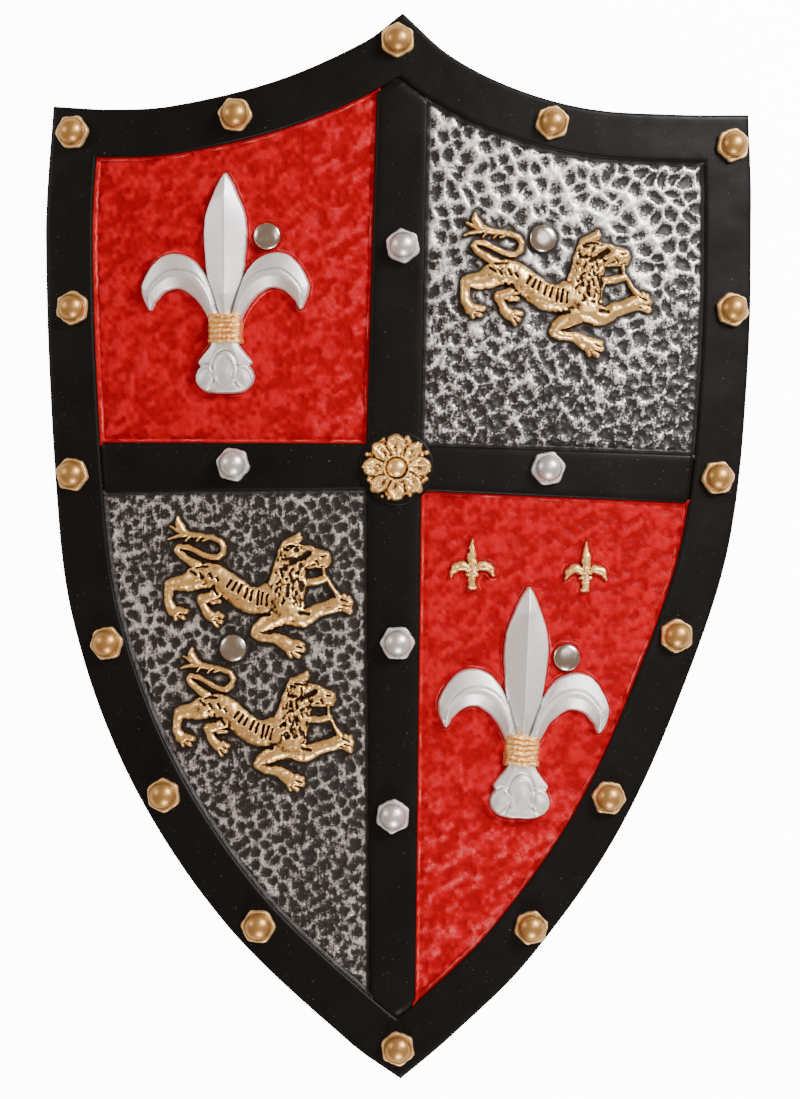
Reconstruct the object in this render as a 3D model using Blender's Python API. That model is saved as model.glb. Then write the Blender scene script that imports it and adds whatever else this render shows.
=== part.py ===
# A moulded foam heater shield with hand-painted relief, lying on its back with its face up.
# X runs across the shield, Y towards its top edge and Z out of its face. All lengths are in metres.
# The relief is first built flat, on a face with coordinates u (across), v (up) and h (out of the back),
# and the finished flat casting is then bent to the shield's curve.

import math

import bmesh
import bpy
from mathutils import Matrix, Vector
from mathutils.geometry import intersect_line_line_2d

# The casting
SHIELD_WIDTH = 0.3226
SHIELD_HEIGHT = 0.4804
BACK_RADIUS = 0.620
FIELD_THICKNESS = 0.0095
BORDER_RAISE = 0.0025
BORDER_WIDTH = 0.0216
WALL_RUN = 0.0020
EDGE_BEVEL = 0.0015
REST_TRIM = 0.0024
OUTLINE_SPACING = 0.016
FIELD_STEPS = 14
BEND_SPACING = 0.020
SINK = 0.0015
ROUND_SIDES = 10

# Outline of the face as percent of the width and of the height, one smooth run between corners
RIGHT_EDGE = (
    (0.3, -50.0), (7.2, -46.1), (18.2, -38.9), (31.0, -26.8), (41.2, -11.6),
    (46.9, 0.6), (49.5, 16.8), (50.0, 32.9), (49.6, 41.1),
)
TOP_RIGHT_EDGE = ((49.6, 41.1), (39.8, 40.9), (26.9, 41.2), (16.3, 43.0), (7.3, 46.0), (0.6, 50.0))
TOP_LEFT_EDGE = ((0.6, 50.0), (-4.8, 47.3), (-17.3, 43.7), (-31.6, 41.6), (-40.1, 41.4), (-48.9, 41.9))
LEFT_EDGE = (
    (-48.9, 41.9), (-50.0, 29.5), (-48.6, 6.7), (-46.1, -6.9), (-38.1, -21.6),
    (-24.7, -35.2), (-6.8, -46.6), (0.3, -50.0),
)

# The cross: stations along each bar as percent of the height or width, its drift from the middle and width
UPRIGHT = ((37.1, 0.0013, 0.0229), (9.0, -0.0020, 0.0243), (-40.7, -0.0027, 0.0202))
CROSSBAR_HEIGHT = 7.4
CROSSBAR_LEFT = ((-42.2, 0.0002, 0.0223), (-4.8, 0.0002, 0.0202))
CROSSBAR_RIGHT = ((3.4, -0.0006, 0.0202), (41.1, -0.0050, 0.0218))

# Nuts: which edge they follow, how far along it (percent of height or width) and across it (share)
NUT_ACROSS = 0.0162
NUT_FLANGE = 0.0030
NUT_DRAFT = 0.0004
NUT_TURN = 23.0
DOME_DIAMETER = 0.0132
DOME_RISE = 0.0062
BORDER_NUTS = (
    ("top", -0.1, 0.45), ("top", -23.1, 0.43), ("top", 21.3, 0.41), ("bottom", -0.1, 0.51),
    ("left", 39.3, 0.50), ("left", 22.7, 0.51), ("left", 6.7, 0.36),
    ("left", -9.1, 0.51), ("left", -23.4, 0.44), ("left", -35.6, 0.45),
    ("right", 38.1, 0.36), ("right", 22.5, 0.37), ("right", 6.4, 0.41),
    ("right", -8.4, 0.50), ("right", -23.6, 0.51), ("right", -35.8, 0.41),
)
UPRIGHT_NUTS = ((28.2, 0.53), (-8.9, 0.56), (-25.2, 0.47))
CROSSBAR_NUTS = ((-23.3, 0.57), (20.8, 0.61))

# Rosette on the crossing of the bars
ROSETTE_DIAMETER = 0.0315
ROSETTE_RISE = 0.0050
ROSETTE_SIDES = 24
ROSETTE_RING_SHARES = (1.0, 0.76, 0.50, 0.30, 0.14)
BOSS_SHARE = 0.30
PETAL_LEVEL = 0.55
PETAL_SWING = 0.25
RIM_LEVEL = 0.20
RIM_LOBES = 0.05

# Lions: middle from the crossing of the bars and length, all as percent of the width, and turn in degrees.
# A lion's fusing step and the spacing along its limbs are in percent of its length
LION_RISE = 0.0042
LION_CURVE_SHARE = 0.6
LION_VOXEL = 1.04
LION_FACETS = 800
LIMB_SPACING = 3.0
LIONS = (
    ("upper_right", (22.2, 25.6), 27.3, 0.0),
    ("lower_left_high", (-19.6, -16.8), 26.9, 0.0),
    ("lower_left_low", (-18.8, -35.5), 25.9, -4.0),
)

# Fleurs-de-lis: middle of the band as percent of width and height, own height as percent of the
# shield's height, width share, petal share, turn in degrees
FLEUR_EDGE = 0.0018
FLEUR_RISE = 0.0052
FLEURS = (
    ("large_upper_left", (-24.3, 20.5), 20.8, 1.0, 1.0, 0.0),
    ("large_lower_right", (17.3, -19.2), 21.8, 0.97, 1.0, -2.5),
)
SMALL_FLEUR_EDGE = 0.0008
SMALL_FLEUR_RISE = 0.0020
SMALL_FLEURS = (
    ("small_left", (10.3, -2.9), 4.8, 1.12, 0.72, 0.0),
    ("small_right", (26.3, -3.1), 4.8, 1.06, 0.72, -1.5),
)

# Rivets: the figure each stands beside, and its place from that figure's middle in percent of its size
RIVET_CAP = 0.0122
RIVET_CAP_RISE = 0.0022
RIVET_CAP_RIM = 0.0006
RIVET_SHANK = 0.0045
REAR_CAP = 0.0100
REAR_CAP_RISE = 0.0016
TOUCH_GAP = 0.0003
RIVETS = {
    "upper_left": ("large_upper_left", 19.2, 41.5),
    "upper_right": ("upper_right", -7.2, 23.6),
    "lower_left": ("lower_left_high", -13.2, -31.7),
    "lower_right": ("large_lower_right", 19.4, 39.9),
}

# Straps on the back, each held under the rear caps of two rivets
STRAP_WIDTH = 0.0250
STRAP_THICKNESS = 0.0022
STRAP_END = 0.0120
STRAP_SEAT = 0.0100
STRAP_FLOOR_GAP = 0.0030
STRAP_STEPS = 8
STRAP_CURVE_SHARE = 0.8
STRAPS = {"hand_strap": ("upper_left", "upper_right"), "arm_strap": ("lower_left", "lower_right")}

BORDER_THICKNESS = FIELD_THICKNESS + BORDER_RAISE
FACE_RADIUS = BACK_RADIUS + FIELD_THICKNESS


def clear_scene():
    for found in list(bpy.data.objects):
        bpy.data.objects.remove(found, do_unlink=True)


def face_place(place):
    """A place given as percent of the width and height, in metres on the flat face."""
    return Vector((place[0] * SHIELD_WIDTH / 100, place[1] * SHIELD_HEIGHT / 100))


def lion_place(place):
    """A place given from the crossing of the bars in percent of the width, in metres on the flat face."""
    return Vector((0, CROSSBAR_HEIGHT * SHIELD_HEIGHT / 100)) + Vector(place) * SHIELD_WIDTH / 100


def smooth_through(points, spacing):
    """Points about a spacing apart on a smooth curve through the given points."""
    points = [Vector(point) for point in points]
    slopes = []
    for i in range(len(points)):
        before = points[max(i - 1, 0)]
        after = points[min(i + 1, len(points) - 1)]
        slopes.append((after - before).normalized())
    curve = []
    for a, b, slope_a, slope_b in zip(points, points[1:], slopes, slopes[1:]):
        length = (b - a).length
        count = max(1, round(length / spacing))
        for step in range(count):
            t = step / count
            curve.append(
                a * (2 * t**3 - 3 * t**2 + 1)
                + slope_a * length * (t**3 - 2 * t**2 + t)
                + b * (3 * t**2 - 2 * t**3)
                + slope_b * length * (t**3 - t**2)
            )
    curve.append(points[-1])
    return curve


def offset(loop, distance):
    """A counter-clockwise loop moved inwards by a distance, with mitred corners."""
    moved = []
    for i, point in enumerate(loop):
        into = (point - loop[i - 1]).normalized()
        out = (loop[(i + 1) % len(loop)] - point).normalized()
        normal_in = Vector((-into.y, into.x))
        normal_out = Vector((-out.y, out.x))
        middle = (normal_in + normal_out).normalized()
        moved.append(point + middle * distance / middle.dot(normal_in))
    return moved


def shifted(run, distance):
    """An open run moved to its left by a distance."""
    moved = []
    for i, point in enumerate(run):
        along = (run[min(i + 1, len(run) - 1)] - run[max(i - 1, 0)]).normalized()
        moved.append(point + Vector((-along.y, along.x)) * distance)
    return moved


def meeting(first, second):
    """Where one run crosses the next: the segment of each and the point."""
    for i in reversed(range(len(first) - 1)):
        for j in range(len(second) - 1):
            point = intersect_line_line_2d(first[i], first[i + 1], second[j], second[j + 1])
            if point is not None:
                return i, j, point
    return len(first) - 2, 0, first[-1].lerp(second[0], 0.5)


def edge_runs(inset):
    """The four smooth runs of the face's edge moved inwards, each cut where it meets the next."""
    runs = []
    for places in (RIGHT_EDGE, TOP_RIGHT_EDGE, TOP_LEFT_EDGE, LEFT_EDGE):
        runs.append(shifted(smooth_through([face_place(place) for place in places], OUTLINE_SPACING), inset))
    corners = [meeting(runs[k], runs[(k + 1) % len(runs)]) for k in range(len(runs))]
    cut = []
    for k, run in enumerate(runs):
        _, start, first = corners[k - 1]
        end, _, last = corners[k]
        cut.append([first] + run[start + 1:end + 1] + [last])
    return cut


def outline(inset=0.0):
    """The face's outer edge, or a line inside it, counter-clockwise from the bottom tip."""
    loop = []
    for run in edge_runs(inset):
        loop += run[:-1]
    return loop


def keep_left(run, a, b):
    """The part of an open run on the left of the line from a to b."""
    side = [(b.x - a.x) * (p.y - a.y) - (b.y - a.y) * (p.x - a.x) for p in run]
    kept = []
    for i, point in enumerate(run):
        if side[i] >= 0:
            kept.append(point)
        if i + 1 < len(run) and side[i] * side[i + 1] < 0:
            kept.append(point.lerp(run[i + 1], side[i] / (side[i] - side[i + 1])))
    return kept


def evenly(run, count):
    """The same run as count equal steps, without its last point."""
    lengths = [0.0]
    for a, b in zip(run, run[1:]):
        lengths.append(lengths[-1] + (b - a).length)
    points = []
    for step in range(count):
        target = lengths[-1] * step / count
        i = max(k for k in range(len(run) - 1) if lengths[k] <= target)
        points.append(run[i].lerp(run[i + 1], (target - lengths[i]) / (lengths[i + 1] - lengths[i])))
    return points


def crossing(loop, axis, value, pick):
    """Where a loop crosses u = value (axis 0) or v = value (axis 1), picked by its other coordinate."""
    found = []
    for i, a in enumerate(loop):
        b = loop[(i + 1) % len(loop)]
        if (a[axis] - value) * (b[axis] - value) <= 0 and a[axis] != b[axis]:
            found.append(a.lerp(b, (value - a[axis]) / (b[axis] - a[axis])))
    return pick(found, key=lambda point: point[1 - axis])


def upright_edges(inset=0.0):
    """The left and right edge points of the upright bar, from the top down."""
    sides = []
    for side in (-1, 1):
        sides.append([
            Vector((drift + side * (width / 2 + inset), v * SHIELD_HEIGHT / 100)) for v, drift, width in UPRIGHT
        ])
    return sides


def crossbar_edges(stations, inset=0.0):
    """The lower and upper edge points of one arm of the crossbar, from left to right."""
    middle = CROSSBAR_HEIGHT * SHIELD_HEIGHT / 100
    sides = []
    for side in (-1, 1):
        sides.append([
            Vector((u * SHIELD_WIDTH / 100, middle + drift + side * (width / 2 + inset)))
            for u, drift, width in stations
        ])
    return sides


def field_loops(inset):
    """The four sunk fields, each as a loop that stands back from the border and the cross by an inset."""
    right_run, top_right, top_left, left_run = edge_runs(BORDER_WIDTH + inset)
    left, right = upright_edges(inset)
    low_left, high_left = crossbar_edges(CROSSBAR_LEFT, inset)
    low_right, high_right = crossbar_edges(CROSSBAR_RIGHT, inset)
    quarters = (
        ((top_left, left_run), (left[1], left[0]), (high_left[0], high_left[1])),
        ((right_run, top_right), (right[0], right[1]), (high_right[0], high_right[1])),
        ((left_run,), (left[2], left[1]), (low_left[1], low_left[0])),
        ((right_run,), (right[1], right[2]), (low_right[1], low_right[0])),
    )
    loops = []
    for runs, upright_cut, crossbar_cut in quarters:
        loop = []
        for run in runs:
            kept = keep_left(keep_left(run, *upright_cut), *crossbar_cut)
            loop += evenly(kept, FIELD_STEPS)
        loop += [kept[-1], line_meeting(upright_cut, crossbar_cut)]
        loops.append(loop)
    return loops


def line_meeting(first, second):
    """Where two endless lines cross."""
    (a, b), (c, d) = first, second
    one, two, between = b - a, d - c, c - a
    share = (between.x * two.y - between.y * two.x) / (one.x * two.y - one.y * two.x)
    return a + one * share


def along_line(points, axis, value):
    """The point of a polyline at u = value (axis 0) or v = value (axis 1), the line running on past its ends."""
    for a, b in zip(points, points[1:]):
        share = (value - a[axis]) / (b[axis] - a[axis])
        if share <= 1:
            return a.lerp(b, share)
    return a.lerp(b, share)


def nut_places():
    """The middle of every nut on the flat face, with its turn."""
    places = []
    for side, along, share in BORDER_NUTS:
        line = outline(share * BORDER_WIDTH)
        if side in ("top", "bottom"):
            pick = max if side == "top" else min
            places.append(crossing(line, 0, along * SHIELD_WIDTH / 100, pick))
        else:
            pick = max if side == "right" else min
            places.append(crossing(line, 1, along * SHIELD_HEIGHT / 100, pick))
    left, right = upright_edges()
    for along, share in UPRIGHT_NUTS:
        v = along * SHIELD_HEIGHT / 100
        places.append(along_line(left, 1, v).lerp(along_line(right, 1, v), share))
    for along, share in CROSSBAR_NUTS:
        u = along * SHIELD_WIDTH / 100
        low, high = crossbar_edges(CROSSBAR_LEFT if along < 0 else CROSSBAR_RIGHT)
        places.append(along_line(low, 0, u).lerp(along_line(high, 0, u), share))
    return places


def new_object(name, mesh):
    made = bpy.data.objects.new(name, mesh)
    bpy.context.scene.collection.objects.link(made)
    return made


def add_rings(shell, rings):
    """Adds one closed body to a mesh: rings of as many points each, joined in turn and capped at both ends."""
    loops = [[shell.verts.new(point) for point in ring] for ring in rings]
    for low, high in zip(loops, loops[1:]):
        count = len(low)
        for i in range(count):
            j = (i + 1) % count
            shell.faces.new((low[i], low[j], high[j], high[i]))
    shell.faces.new(list(reversed(loops[0])))
    shell.faces.new(loops[-1])


def mesh_object(name, build):
    """A new object whose closed bodies are added by a function."""
    shell = bmesh.new()
    build(shell)
    bmesh.ops.remove_doubles(shell, verts=shell.verts, dist=0.00001)
    bmesh.ops.recalc_face_normals(shell, faces=shell.faces)
    mesh = bpy.data.meshes.new(name)
    shell.to_mesh(mesh)
    shell.free()
    return new_object(name, mesh)


def evaluated_mesh(found):
    """An object's mesh with its modifiers applied."""
    return bpy.data.meshes.new_from_object(found.evaluated_get(bpy.context.evaluated_depsgraph_get()))


def combine(body, tool, operation):
    """Joins or cuts a body with a tool, which is used up."""
    change = body.modifiers.new(operation.lower(), "BOOLEAN")
    change.operation = operation
    change.object = tool
    change.solver = "EXACT"
    result = evaluated_mesh(body)
    body.modifiers.clear()
    body.data = result
    bpy.data.objects.remove(tool, do_unlink=True)


def at_height(loop, h):
    return [Vector((point.x, point.y, h)) for point in loop]


def flat_plate():
    """The casting's flat blank: the outline with a bevelled front edge."""
    edge = outline()
    rings = (
        at_height(edge, 0.0),
        at_height(edge, BORDER_THICKNESS - EDGE_BEVEL),
        at_height(offset(edge, EDGE_BEVEL), BORDER_THICKNESS),
    )
    return mesh_object("shield_body", lambda shell: add_rings(shell, rings))


def field_cutter():
    """The four sunk fields with their sloping walls, as one cutter that runs past the border's top."""
    floors = field_loops(WALL_RUN)
    mouths = field_loops(-WALL_RUN)

    def build(shell):
        for floor, mouth in zip(floors, mouths):
            add_rings(shell, [at_height(floor, FIELD_THICKNESS), at_height(mouth, BORDER_THICKNESS + BORDER_RAISE)])

    return mesh_object("fields", build)


def cut_into_strips(body):
    """Cuts the flat casting along v so that it can bend."""
    shell = bmesh.new()
    shell.from_mesh(body.data)
    count = round(SHIELD_WIDTH / BEND_SPACING)
    for step in range(1, count):
        u = (step / count - 0.5) * SHIELD_WIDTH
        geometry = shell.verts[:] + shell.edges[:] + shell.faces[:]
        bmesh.ops.bisect_plane(shell, geom=geometry, plane_co=(u, 0, 0), plane_no=(1, 0, 0))
    shell.to_mesh(body.data)
    shell.free()


def circle(radius, height, count=ROUND_SIDES):
    step = 2 * math.pi / count
    return [Vector((radius * math.cos(k * step), radius * math.sin(k * step), height)) for k in range(count)]


def dome_rings(radius, base, rise, angles):
    """Rings of a dome of an elliptic section, at angles in degrees up from its rim."""
    rings = []
    for angle in angles:
        a = math.radians(angle)
        rings.append(circle(radius * math.cos(a), base + rise * math.sin(a)))
    return rings


def turned(rings, degrees, middle):
    """Rings turned about their own axis and carried to a place on the face."""
    move = Matrix.Translation((middle.x, middle.y, 0)) @ Matrix.Rotation(math.radians(degrees), 4, "Z")
    return [[move @ point for point in ring] for ring in rings]


def nut_flanges():
    """The hexagon flanges of all the nuts, sunk a little into the border and the cross."""
    rings = [
        circle(NUT_ACROSS / 2, BORDER_THICKNESS - SINK, 6),
        circle(NUT_ACROSS / 2 - NUT_DRAFT, BORDER_THICKNESS + NUT_FLANGE, 6),
    ]

    def build(shell):
        for k, middle in enumerate(nut_places()):
            add_rings(shell, turned(rings, NUT_TURN * k % 60, middle))

    return mesh_object("nut_flanges", build)


def nut_domes():
    """The domes of all the nuts, sunk a little into their flanges."""
    seat = BORDER_THICKNESS + NUT_FLANGE
    rings = [circle(DOME_DIAMETER / 2, seat - SINK / 2)]
    rings += dome_rings(DOME_DIAMETER / 2, seat, DOME_RISE, (28, 60))

    def build(shell):
        for middle in nut_places():
            add_rings(shell, turned(rings, 0, middle))

    return mesh_object("nut_domes", build)


def rosette_height(share, angle):
    """How high the rosette stands at a share of its radius: four broad petals, four leaves and a boss."""
    boss = 1 - (share / BOSS_SHARE) ** 2
    petals = math.sin(math.pi * share) * (PETAL_LEVEL + PETAL_SWING * math.cos(4 * angle))
    return max(RIM_LEVEL, boss, petals)


def rosette():
    """The rosette on the crossing: a polar relief with a lobed rim."""
    left, right = upright_edges()
    v = CROSSBAR_HEIGHT * SHIELD_HEIGHT / 100
    middle = (along_line(left, 1, v) + along_line(right, 1, v)) / 2
    radius = ROSETTE_DIAMETER / 2

    def ring(share, height=None):
        points = []
        for k in range(ROSETTE_SIDES):
            angle = 2 * math.pi * k / ROSETTE_SIDES
            reach = share * radius * (1 - RIM_LOBES * share * (1 - math.cos(8 * angle)))
            rise = ROSETTE_RISE * rosette_height(share, angle) if height is None else height
            points.append(Vector((reach * math.cos(angle), reach * math.sin(angle), BORDER_THICKNESS + rise)))
        return points

    rings = [ring(1.0, -SINK)] + [ring(share) for share in ROSETTE_RING_SHARES]
    return mesh_object("rosette", lambda shell: add_rings(shell, turned(rings, 0, middle)))


# A lion in profile, walking to the right: each limb is a run of (across, up, half width), all in percent
# of the lion's length and measured from the middle of its outline
LION_LIMBS = {
    "torso": (
        (-31.4, 7.6, 4.5), (-24.2, 4.7, 6.1), (-14.8, -0.3, 6.5), (-4.7, -6.4, 7.3),
        (3.9, -8.2, 8.1), (13.2, -8.2, 9.4), (18.3, -11.1, 7.6),
    ),
    "neck": ((9.6, -3.9, 7.9), (14.0, 4.7, 7.9), (16.8, 13.4, 6.8), (17.6, 19.1, 5.8)),
    "head": ((16.8, 15.5, 6.1), (23.3, 16.3, 5.0), (29.8, 15.5, 4.3), (34.1, 15.2, 3.2)),
    "ear": ((14.0, 22.0, 2.9), (17.6, 24.9, 2.9), (19.7, 26.7, 1.8)),
    "cheek": ((21.2, 9.1, 4.0), (22.2, 3.3, 3.2)),
    "jaw": ((22.6, 1.2, 2.5), (27.6, 1.9, 1.6), (34.1, 4.0, 1.2)),
    "tongue": ((34.5, 5.1, 1.0), (37.7, 1.2, 1.0), (40.6, -3.2, 1.1), (43.5, -6.0, 1.8)),
    "raised_leg": (
        (17.6, -13.2, 5.8), (24.7, -16.1, 3.5), (32.7, -12.9, 3.0), (40.6, -10.0, 3.0),
        (45.6, -9.6, 3.6), (48.1, -10.0, 2.9),
    ),
    "upper_arm": ((14.0, -13.2, 6.5), (7.5, -17.6, 4.5), (1.7, -21.5, 3.6), (-0.8, -24.7, 3.0)),
    "forearm": (
        (-0.8, -25.1, 3.0), (5.3, -26.5, 2.6), (11.8, -28.3, 2.7), (17.6, -30.5, 3.5), (20.8, -32.7, 3.4),
    ),
    "near_thigh": ((-26.3, 4.7, 6.1), (-33.5, 3.3, 4.5), (-40.7, 1.2, 3.5), (-46.1, 0.4, 3.0)),
    "near_shin": (
        (-46.1, 0.4, 3.0), (-46.6, -5.3, 2.7), (-45.4, -10.4, 2.6), (-42.9, -14.0, 2.9), (-39.6, -14.3, 2.7),
    ),
    "far_thigh": ((-20.6, 0.4, 3.6), (-23.5, -3.9, 3.2), (-20.6, -7.1, 2.0)),
    "far_shin": ((-23.5, -5.5, 2.4), (-29.9, -6.8, 2.2), (-27.8, -11.8, 2.4), (-24.9, -16.1, 2.7),
                 (-21.3, -17.6, 2.9)),
    "tail": (
        (-33.5, 11.2, 2.0), (-39.3, 15.2, 1.8), (-43.2, 18.8, 1.7), (-41.8, 21.3, 1.6),
        (-37.8, 21.2, 1.6), (-31.4, 18.4, 1.6), (-25.6, 16.0, 1.7), (-21.3, 16.3, 1.7),
        (-18.8, 18.8, 1.7), (-18.6, 22.7, 1.7), (-21.3, 26.0, 1.7), (-27.1, 27.2, 1.7),
        (-33.5, 27.6, 1.9), (-38.2, 28.8, 2.0), (-41.1, 32.1, 2.0), (-42.0, 35.7, 1.3),
    ),
    "tuft": ((-38.9, 28.1, 2.2), (-42.9, 29.2, 1.7), (-46.5, 31.7, 0.9)),
    "tuft_low": ((-38.9, 26.7, 1.9), (-43.6, 26.0, 1.3), (-47.2, 25.3, 0.9)),
}


def lion_figure(name):
    """A lion as soft tapering limbs fused to one closed skin, with its length as 100."""
    curves = bpy.data.curves.new(name, "CURVE")
    curves.dimensions = "3D"
    curves.bevel_depth = 1.0
    curves.bevel_resolution = 2
    curves.use_fill_caps = True
    for limb in LION_LIMBS.values():
        spline = curves.splines.new("POLY")
        run = smooth_through(limb, LIMB_SPACING)
        spline.points.add(len(run) - 1)
        for point, (x, y, half) in zip(spline.points, run):
            point.co = (x, y, 0, 1)
            point.radius = half
    limbs = new_object(name, curves)
    figure = new_object(name, evaluated_mesh(limbs))
    bpy.data.objects.remove(limbs, do_unlink=True)
    fuse = figure.modifiers.new("fuse", "REMESH")
    fuse.mode = "VOXEL"
    fuse.voxel_size = LION_VOXEL
    thin = figure.modifiers.new("thin", "DECIMATE")
    thin.ratio = LION_FACETS / (2 * len(evaluated_mesh(figure).polygons))
    figure.data = evaluated_mesh(figure)
    figure.modifiers.clear()
    return figure


def lion(name, place, share, turn):
    """A lion flattened to a low relief that stands half out of the field."""
    figure = lion_figure(name)
    thickest = max(vertex.co.z for vertex in figure.data.vertices)
    for vertex in figure.data.vertices:
        fullness = (abs(vertex.co.z) / thickest) ** LION_CURVE_SHARE
        vertex.co.z = math.copysign(LION_RISE * fullness, vertex.co.z)
    seat = Matrix.Translation((*lion_place(place), FIELD_THICKNESS))
    percent = share * SHIELD_WIDTH / 100 / 100
    size = Matrix.Diagonal((percent, percent, 1, 1))
    figure.data.transform(seat @ Matrix.Rotation(math.radians(turn), 4, "Z") @ size)
    return figure


# A fleur-de-lis, in percent of its height and measured from the middle of its band: the centre petal as
# (up, half width), the left petal as its outer edge, crease and inner edge, and the foot as (up, half width)
CENTRE_PETAL = (
    (6.0, 2.6), (16.0, 6.2), (25.2, 8.2), (33.7, 9.1), (42.2, 9.7), (51.4, 8.8), (61.3, 5.3),
    (67.5, 2.3), (70.2, 0.6),
)
SIDE_PETAL = (
    ((-2.0, 3.0), (-3.0, 3.0), (-7.0, 3.0)),
    ((-8.0, 21.6), (-5.9, 13.6), (-10.5, 9.9)),
    ((-11.2, 27.3), (-9.1, 19.8), (-13.3, 13.5)),
    ((-16.2, 32.0), (-13.3, 24.3), (-16.9, 16.5)),
    ((-23.3, 34.0), (-20.4, 26.7), (-21.1, 18.5)),
    ((-30.8, 31.4), (-26.9, 25.6), (-26.6, 17.3)),
    ((-37.8, 20.5), (-33.8, 19.0), (-31.8, 12.5)),
    ((-37.5, 14.5), (-35.0, 14.0), (-32.8, 10.5)),
    ((-35.0, 9.0), (-34.6, 9.3), (-34.0, 8.7)),
)
FOOT = (
    (-5.0, 5.8), (-11.7, 9.6), (-16.0, 12.0), (-17.0, 11.6), (-21.0, 12.9), (-25.6, 12.0), (-29.0, 7.0),
)
FOOT_SECTION = ((0.75, 0.75), (0.42, 0.45), (0.0, 1.0), (-0.42, 0.45), (-0.75, 0.75))

# Its band and how its relief rises: shares of the full rise, and the widths at which that rise is reached
BAND_HALF_WIDTH = 7.7
BAND_HALF_HEIGHT = 6.9
BAND_STRANDS = 3
BAND_WAIST = 0.90
BAND_CROWN = 0.80
BAND_SHOULDER = 0.60
BAND_SIDE = 0.50
PETAL_FULL = 6.0
CREASE_SHARE = 0.80
CREASE_FULL = 9.0
FOOT_FULL = 12.0
FOOT_LEVEL = 0.55
FOOT_EDGE = 0.80


def fleur(name, place, share, width_share, petal_share, turn, edge, rise, plain):
    """A fleur-de-lis: ridged centre petal, two creased side petals, a bound band and a three-lobed foot.

    A plain one has fewer stations, one strand in its band and no lobes on its foot.
    """
    percent = share * SHIELD_HEIGHT / 100 / 100
    top = rise - edge

    def put(x, y, h):
        return Vector((x * percent * width_share, y * percent, h))

    def petal_rings(floor):
        for up, half in CENTRE_PETAL[::3 if plain else 1]:
            half *= petal_share
            ridge = edge + top * min(1.0, half / PETAL_FULL)
            yield [put(-half, up, floor), put(half, up, floor), put(half, up, edge),
                   put(0, up, ridge), put(-half, up, edge)]

    def side_rings(side, floor):
        for outer, crease, inner in SIDE_PETAL[::2 if plain else 1]:
            reach = Vector(outer) - Vector(inner)
            ridge = edge + top * CREASE_SHARE * min(1.0, reach.length / CREASE_FULL)
            corners = ((inner, floor), (outer, floor), (outer, edge), (crease, ridge), (inner, edge))
            yield [put(side * x, y, h) for (x, y), h in corners]

    def band_rings(floor):
        steps = 2 if plain else 2 * BAND_STRANDS
        for step in range(steps + 1):
            up = (step / steps * 2 - 1) * BAND_HALF_HEIGHT
            full = step % 2
            half = BAND_HALF_WIDTH * (1.0 if full else BAND_WAIST)
            crown = rise * (1.0 if full else BAND_CROWN)
            low = crown * BAND_SIDE
            flat = half * BAND_SHOULDER
            yield [put(-half, up, floor), put(half, up, floor), put(half, up, low),
                   put(flat, up, crown), put(-flat, up, crown), put(-half, up, low)]

    def foot_rings(floor):
        for up, half in FOOT[::3 if plain else 1]:
            carve = min(1.0, (half / FOOT_FULL) ** 2)
            lobes = FOOT_SECTION[1::2] if plain else FOOT_SECTION
            levels = [(x, FOOT_LEVEL + (level - FOOT_LEVEL) * carve) for x, level in lobes]
            section = [put(half * x, up, edge + top * level) for x, level in levels]
            low = edge * FOOT_EDGE
            yield [put(-half, up, floor), put(half, up, floor), put(half, up, low), *section, put(-half, up, low)]

    floors = [-SINK * (1 + 0.1 * k) for k in range(5)]
    leaves = [petal_rings(floors[0]), side_rings(1, floors[1]), side_rings(-1, floors[2]),
              foot_rings(floors[3]), band_rings(floors[4])]
    whole = None
    for rings in leaves:
        leaf = mesh_object(name, lambda shell: add_rings(shell, list(rings)))
        triangulate(leaf)
        if whole is None:
            whole = leaf
        else:
            combine(whole, leaf, "UNION")
    seat = Vector((*face_place(place), FIELD_THICKNESS))
    whole.data.transform(Matrix.Translation(seat) @ Matrix.Rotation(math.radians(turn), 4, "Z"))
    return whole


def triangulate(made):
    shell = bmesh.new()
    shell.from_mesh(made.data)
    bmesh.ops.triangulate(shell, faces=shell.faces)
    bmesh.ops.recalc_face_normals(shell, faces=shell.faces)
    shell.to_mesh(made.data)
    shell.free()


def bend(u, v, h):
    """A place on the flat casting carried to the curved one: face points keep their u as their X."""
    angle = math.asin(u / FACE_RADIUS)
    reach = BACK_RADIUS + h
    return Vector((reach * math.sin(angle), v, reach * math.cos(angle) - BACK_RADIUS + back_apex()))


def back_apex():
    """Height of the middle of the back above the ground, set by the lowest rim and the flat cut there."""
    angle = math.asin(SHIELD_WIDTH / 2 / FACE_RADIUS)
    return BACK_RADIUS * (1 - math.cos(angle)) - REST_TRIM


def bend_casting(body):
    """Bends the flat casting and cuts its lowest rim flat, where it rests."""
    for vertex in body.data.vertices:
        vertex.co = bend(*vertex.co)
    shell = bmesh.new()
    shell.from_mesh(body.data)
    geometry = shell.verts[:] + shell.edges[:] + shell.faces[:]
    bmesh.ops.bisect_plane(
        shell, geom=geometry, dist=0.000001, plane_co=(0, 0, 0), plane_no=(0, 0, 1), clear_inner=True)
    rim = [edge for edge in shell.edges if edge.is_boundary]
    bmesh.ops.holes_fill(shell, edges=rim)
    bmesh.ops.triangulate(shell, faces=shell.faces)
    bmesh.ops.recalc_face_normals(shell, faces=shell.faces)
    shell.to_mesh(body.data)
    shell.free()


def rivet_place(side):
    """A rivet's middle on the flat face, set off from the figure that it stands beside."""
    beside, across, up = RIVETS[side]
    figures = {name: (lion_place(place), share * SHIELD_WIDTH) for name, place, share, *_ in LIONS}
    figures.update({name: (face_place(place), share * SHIELD_HEIGHT) for name, place, share, *_ in FLEURS})
    middle, size = figures[beside]
    return middle + Vector((across, up)) * size / 100 / 100


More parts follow.
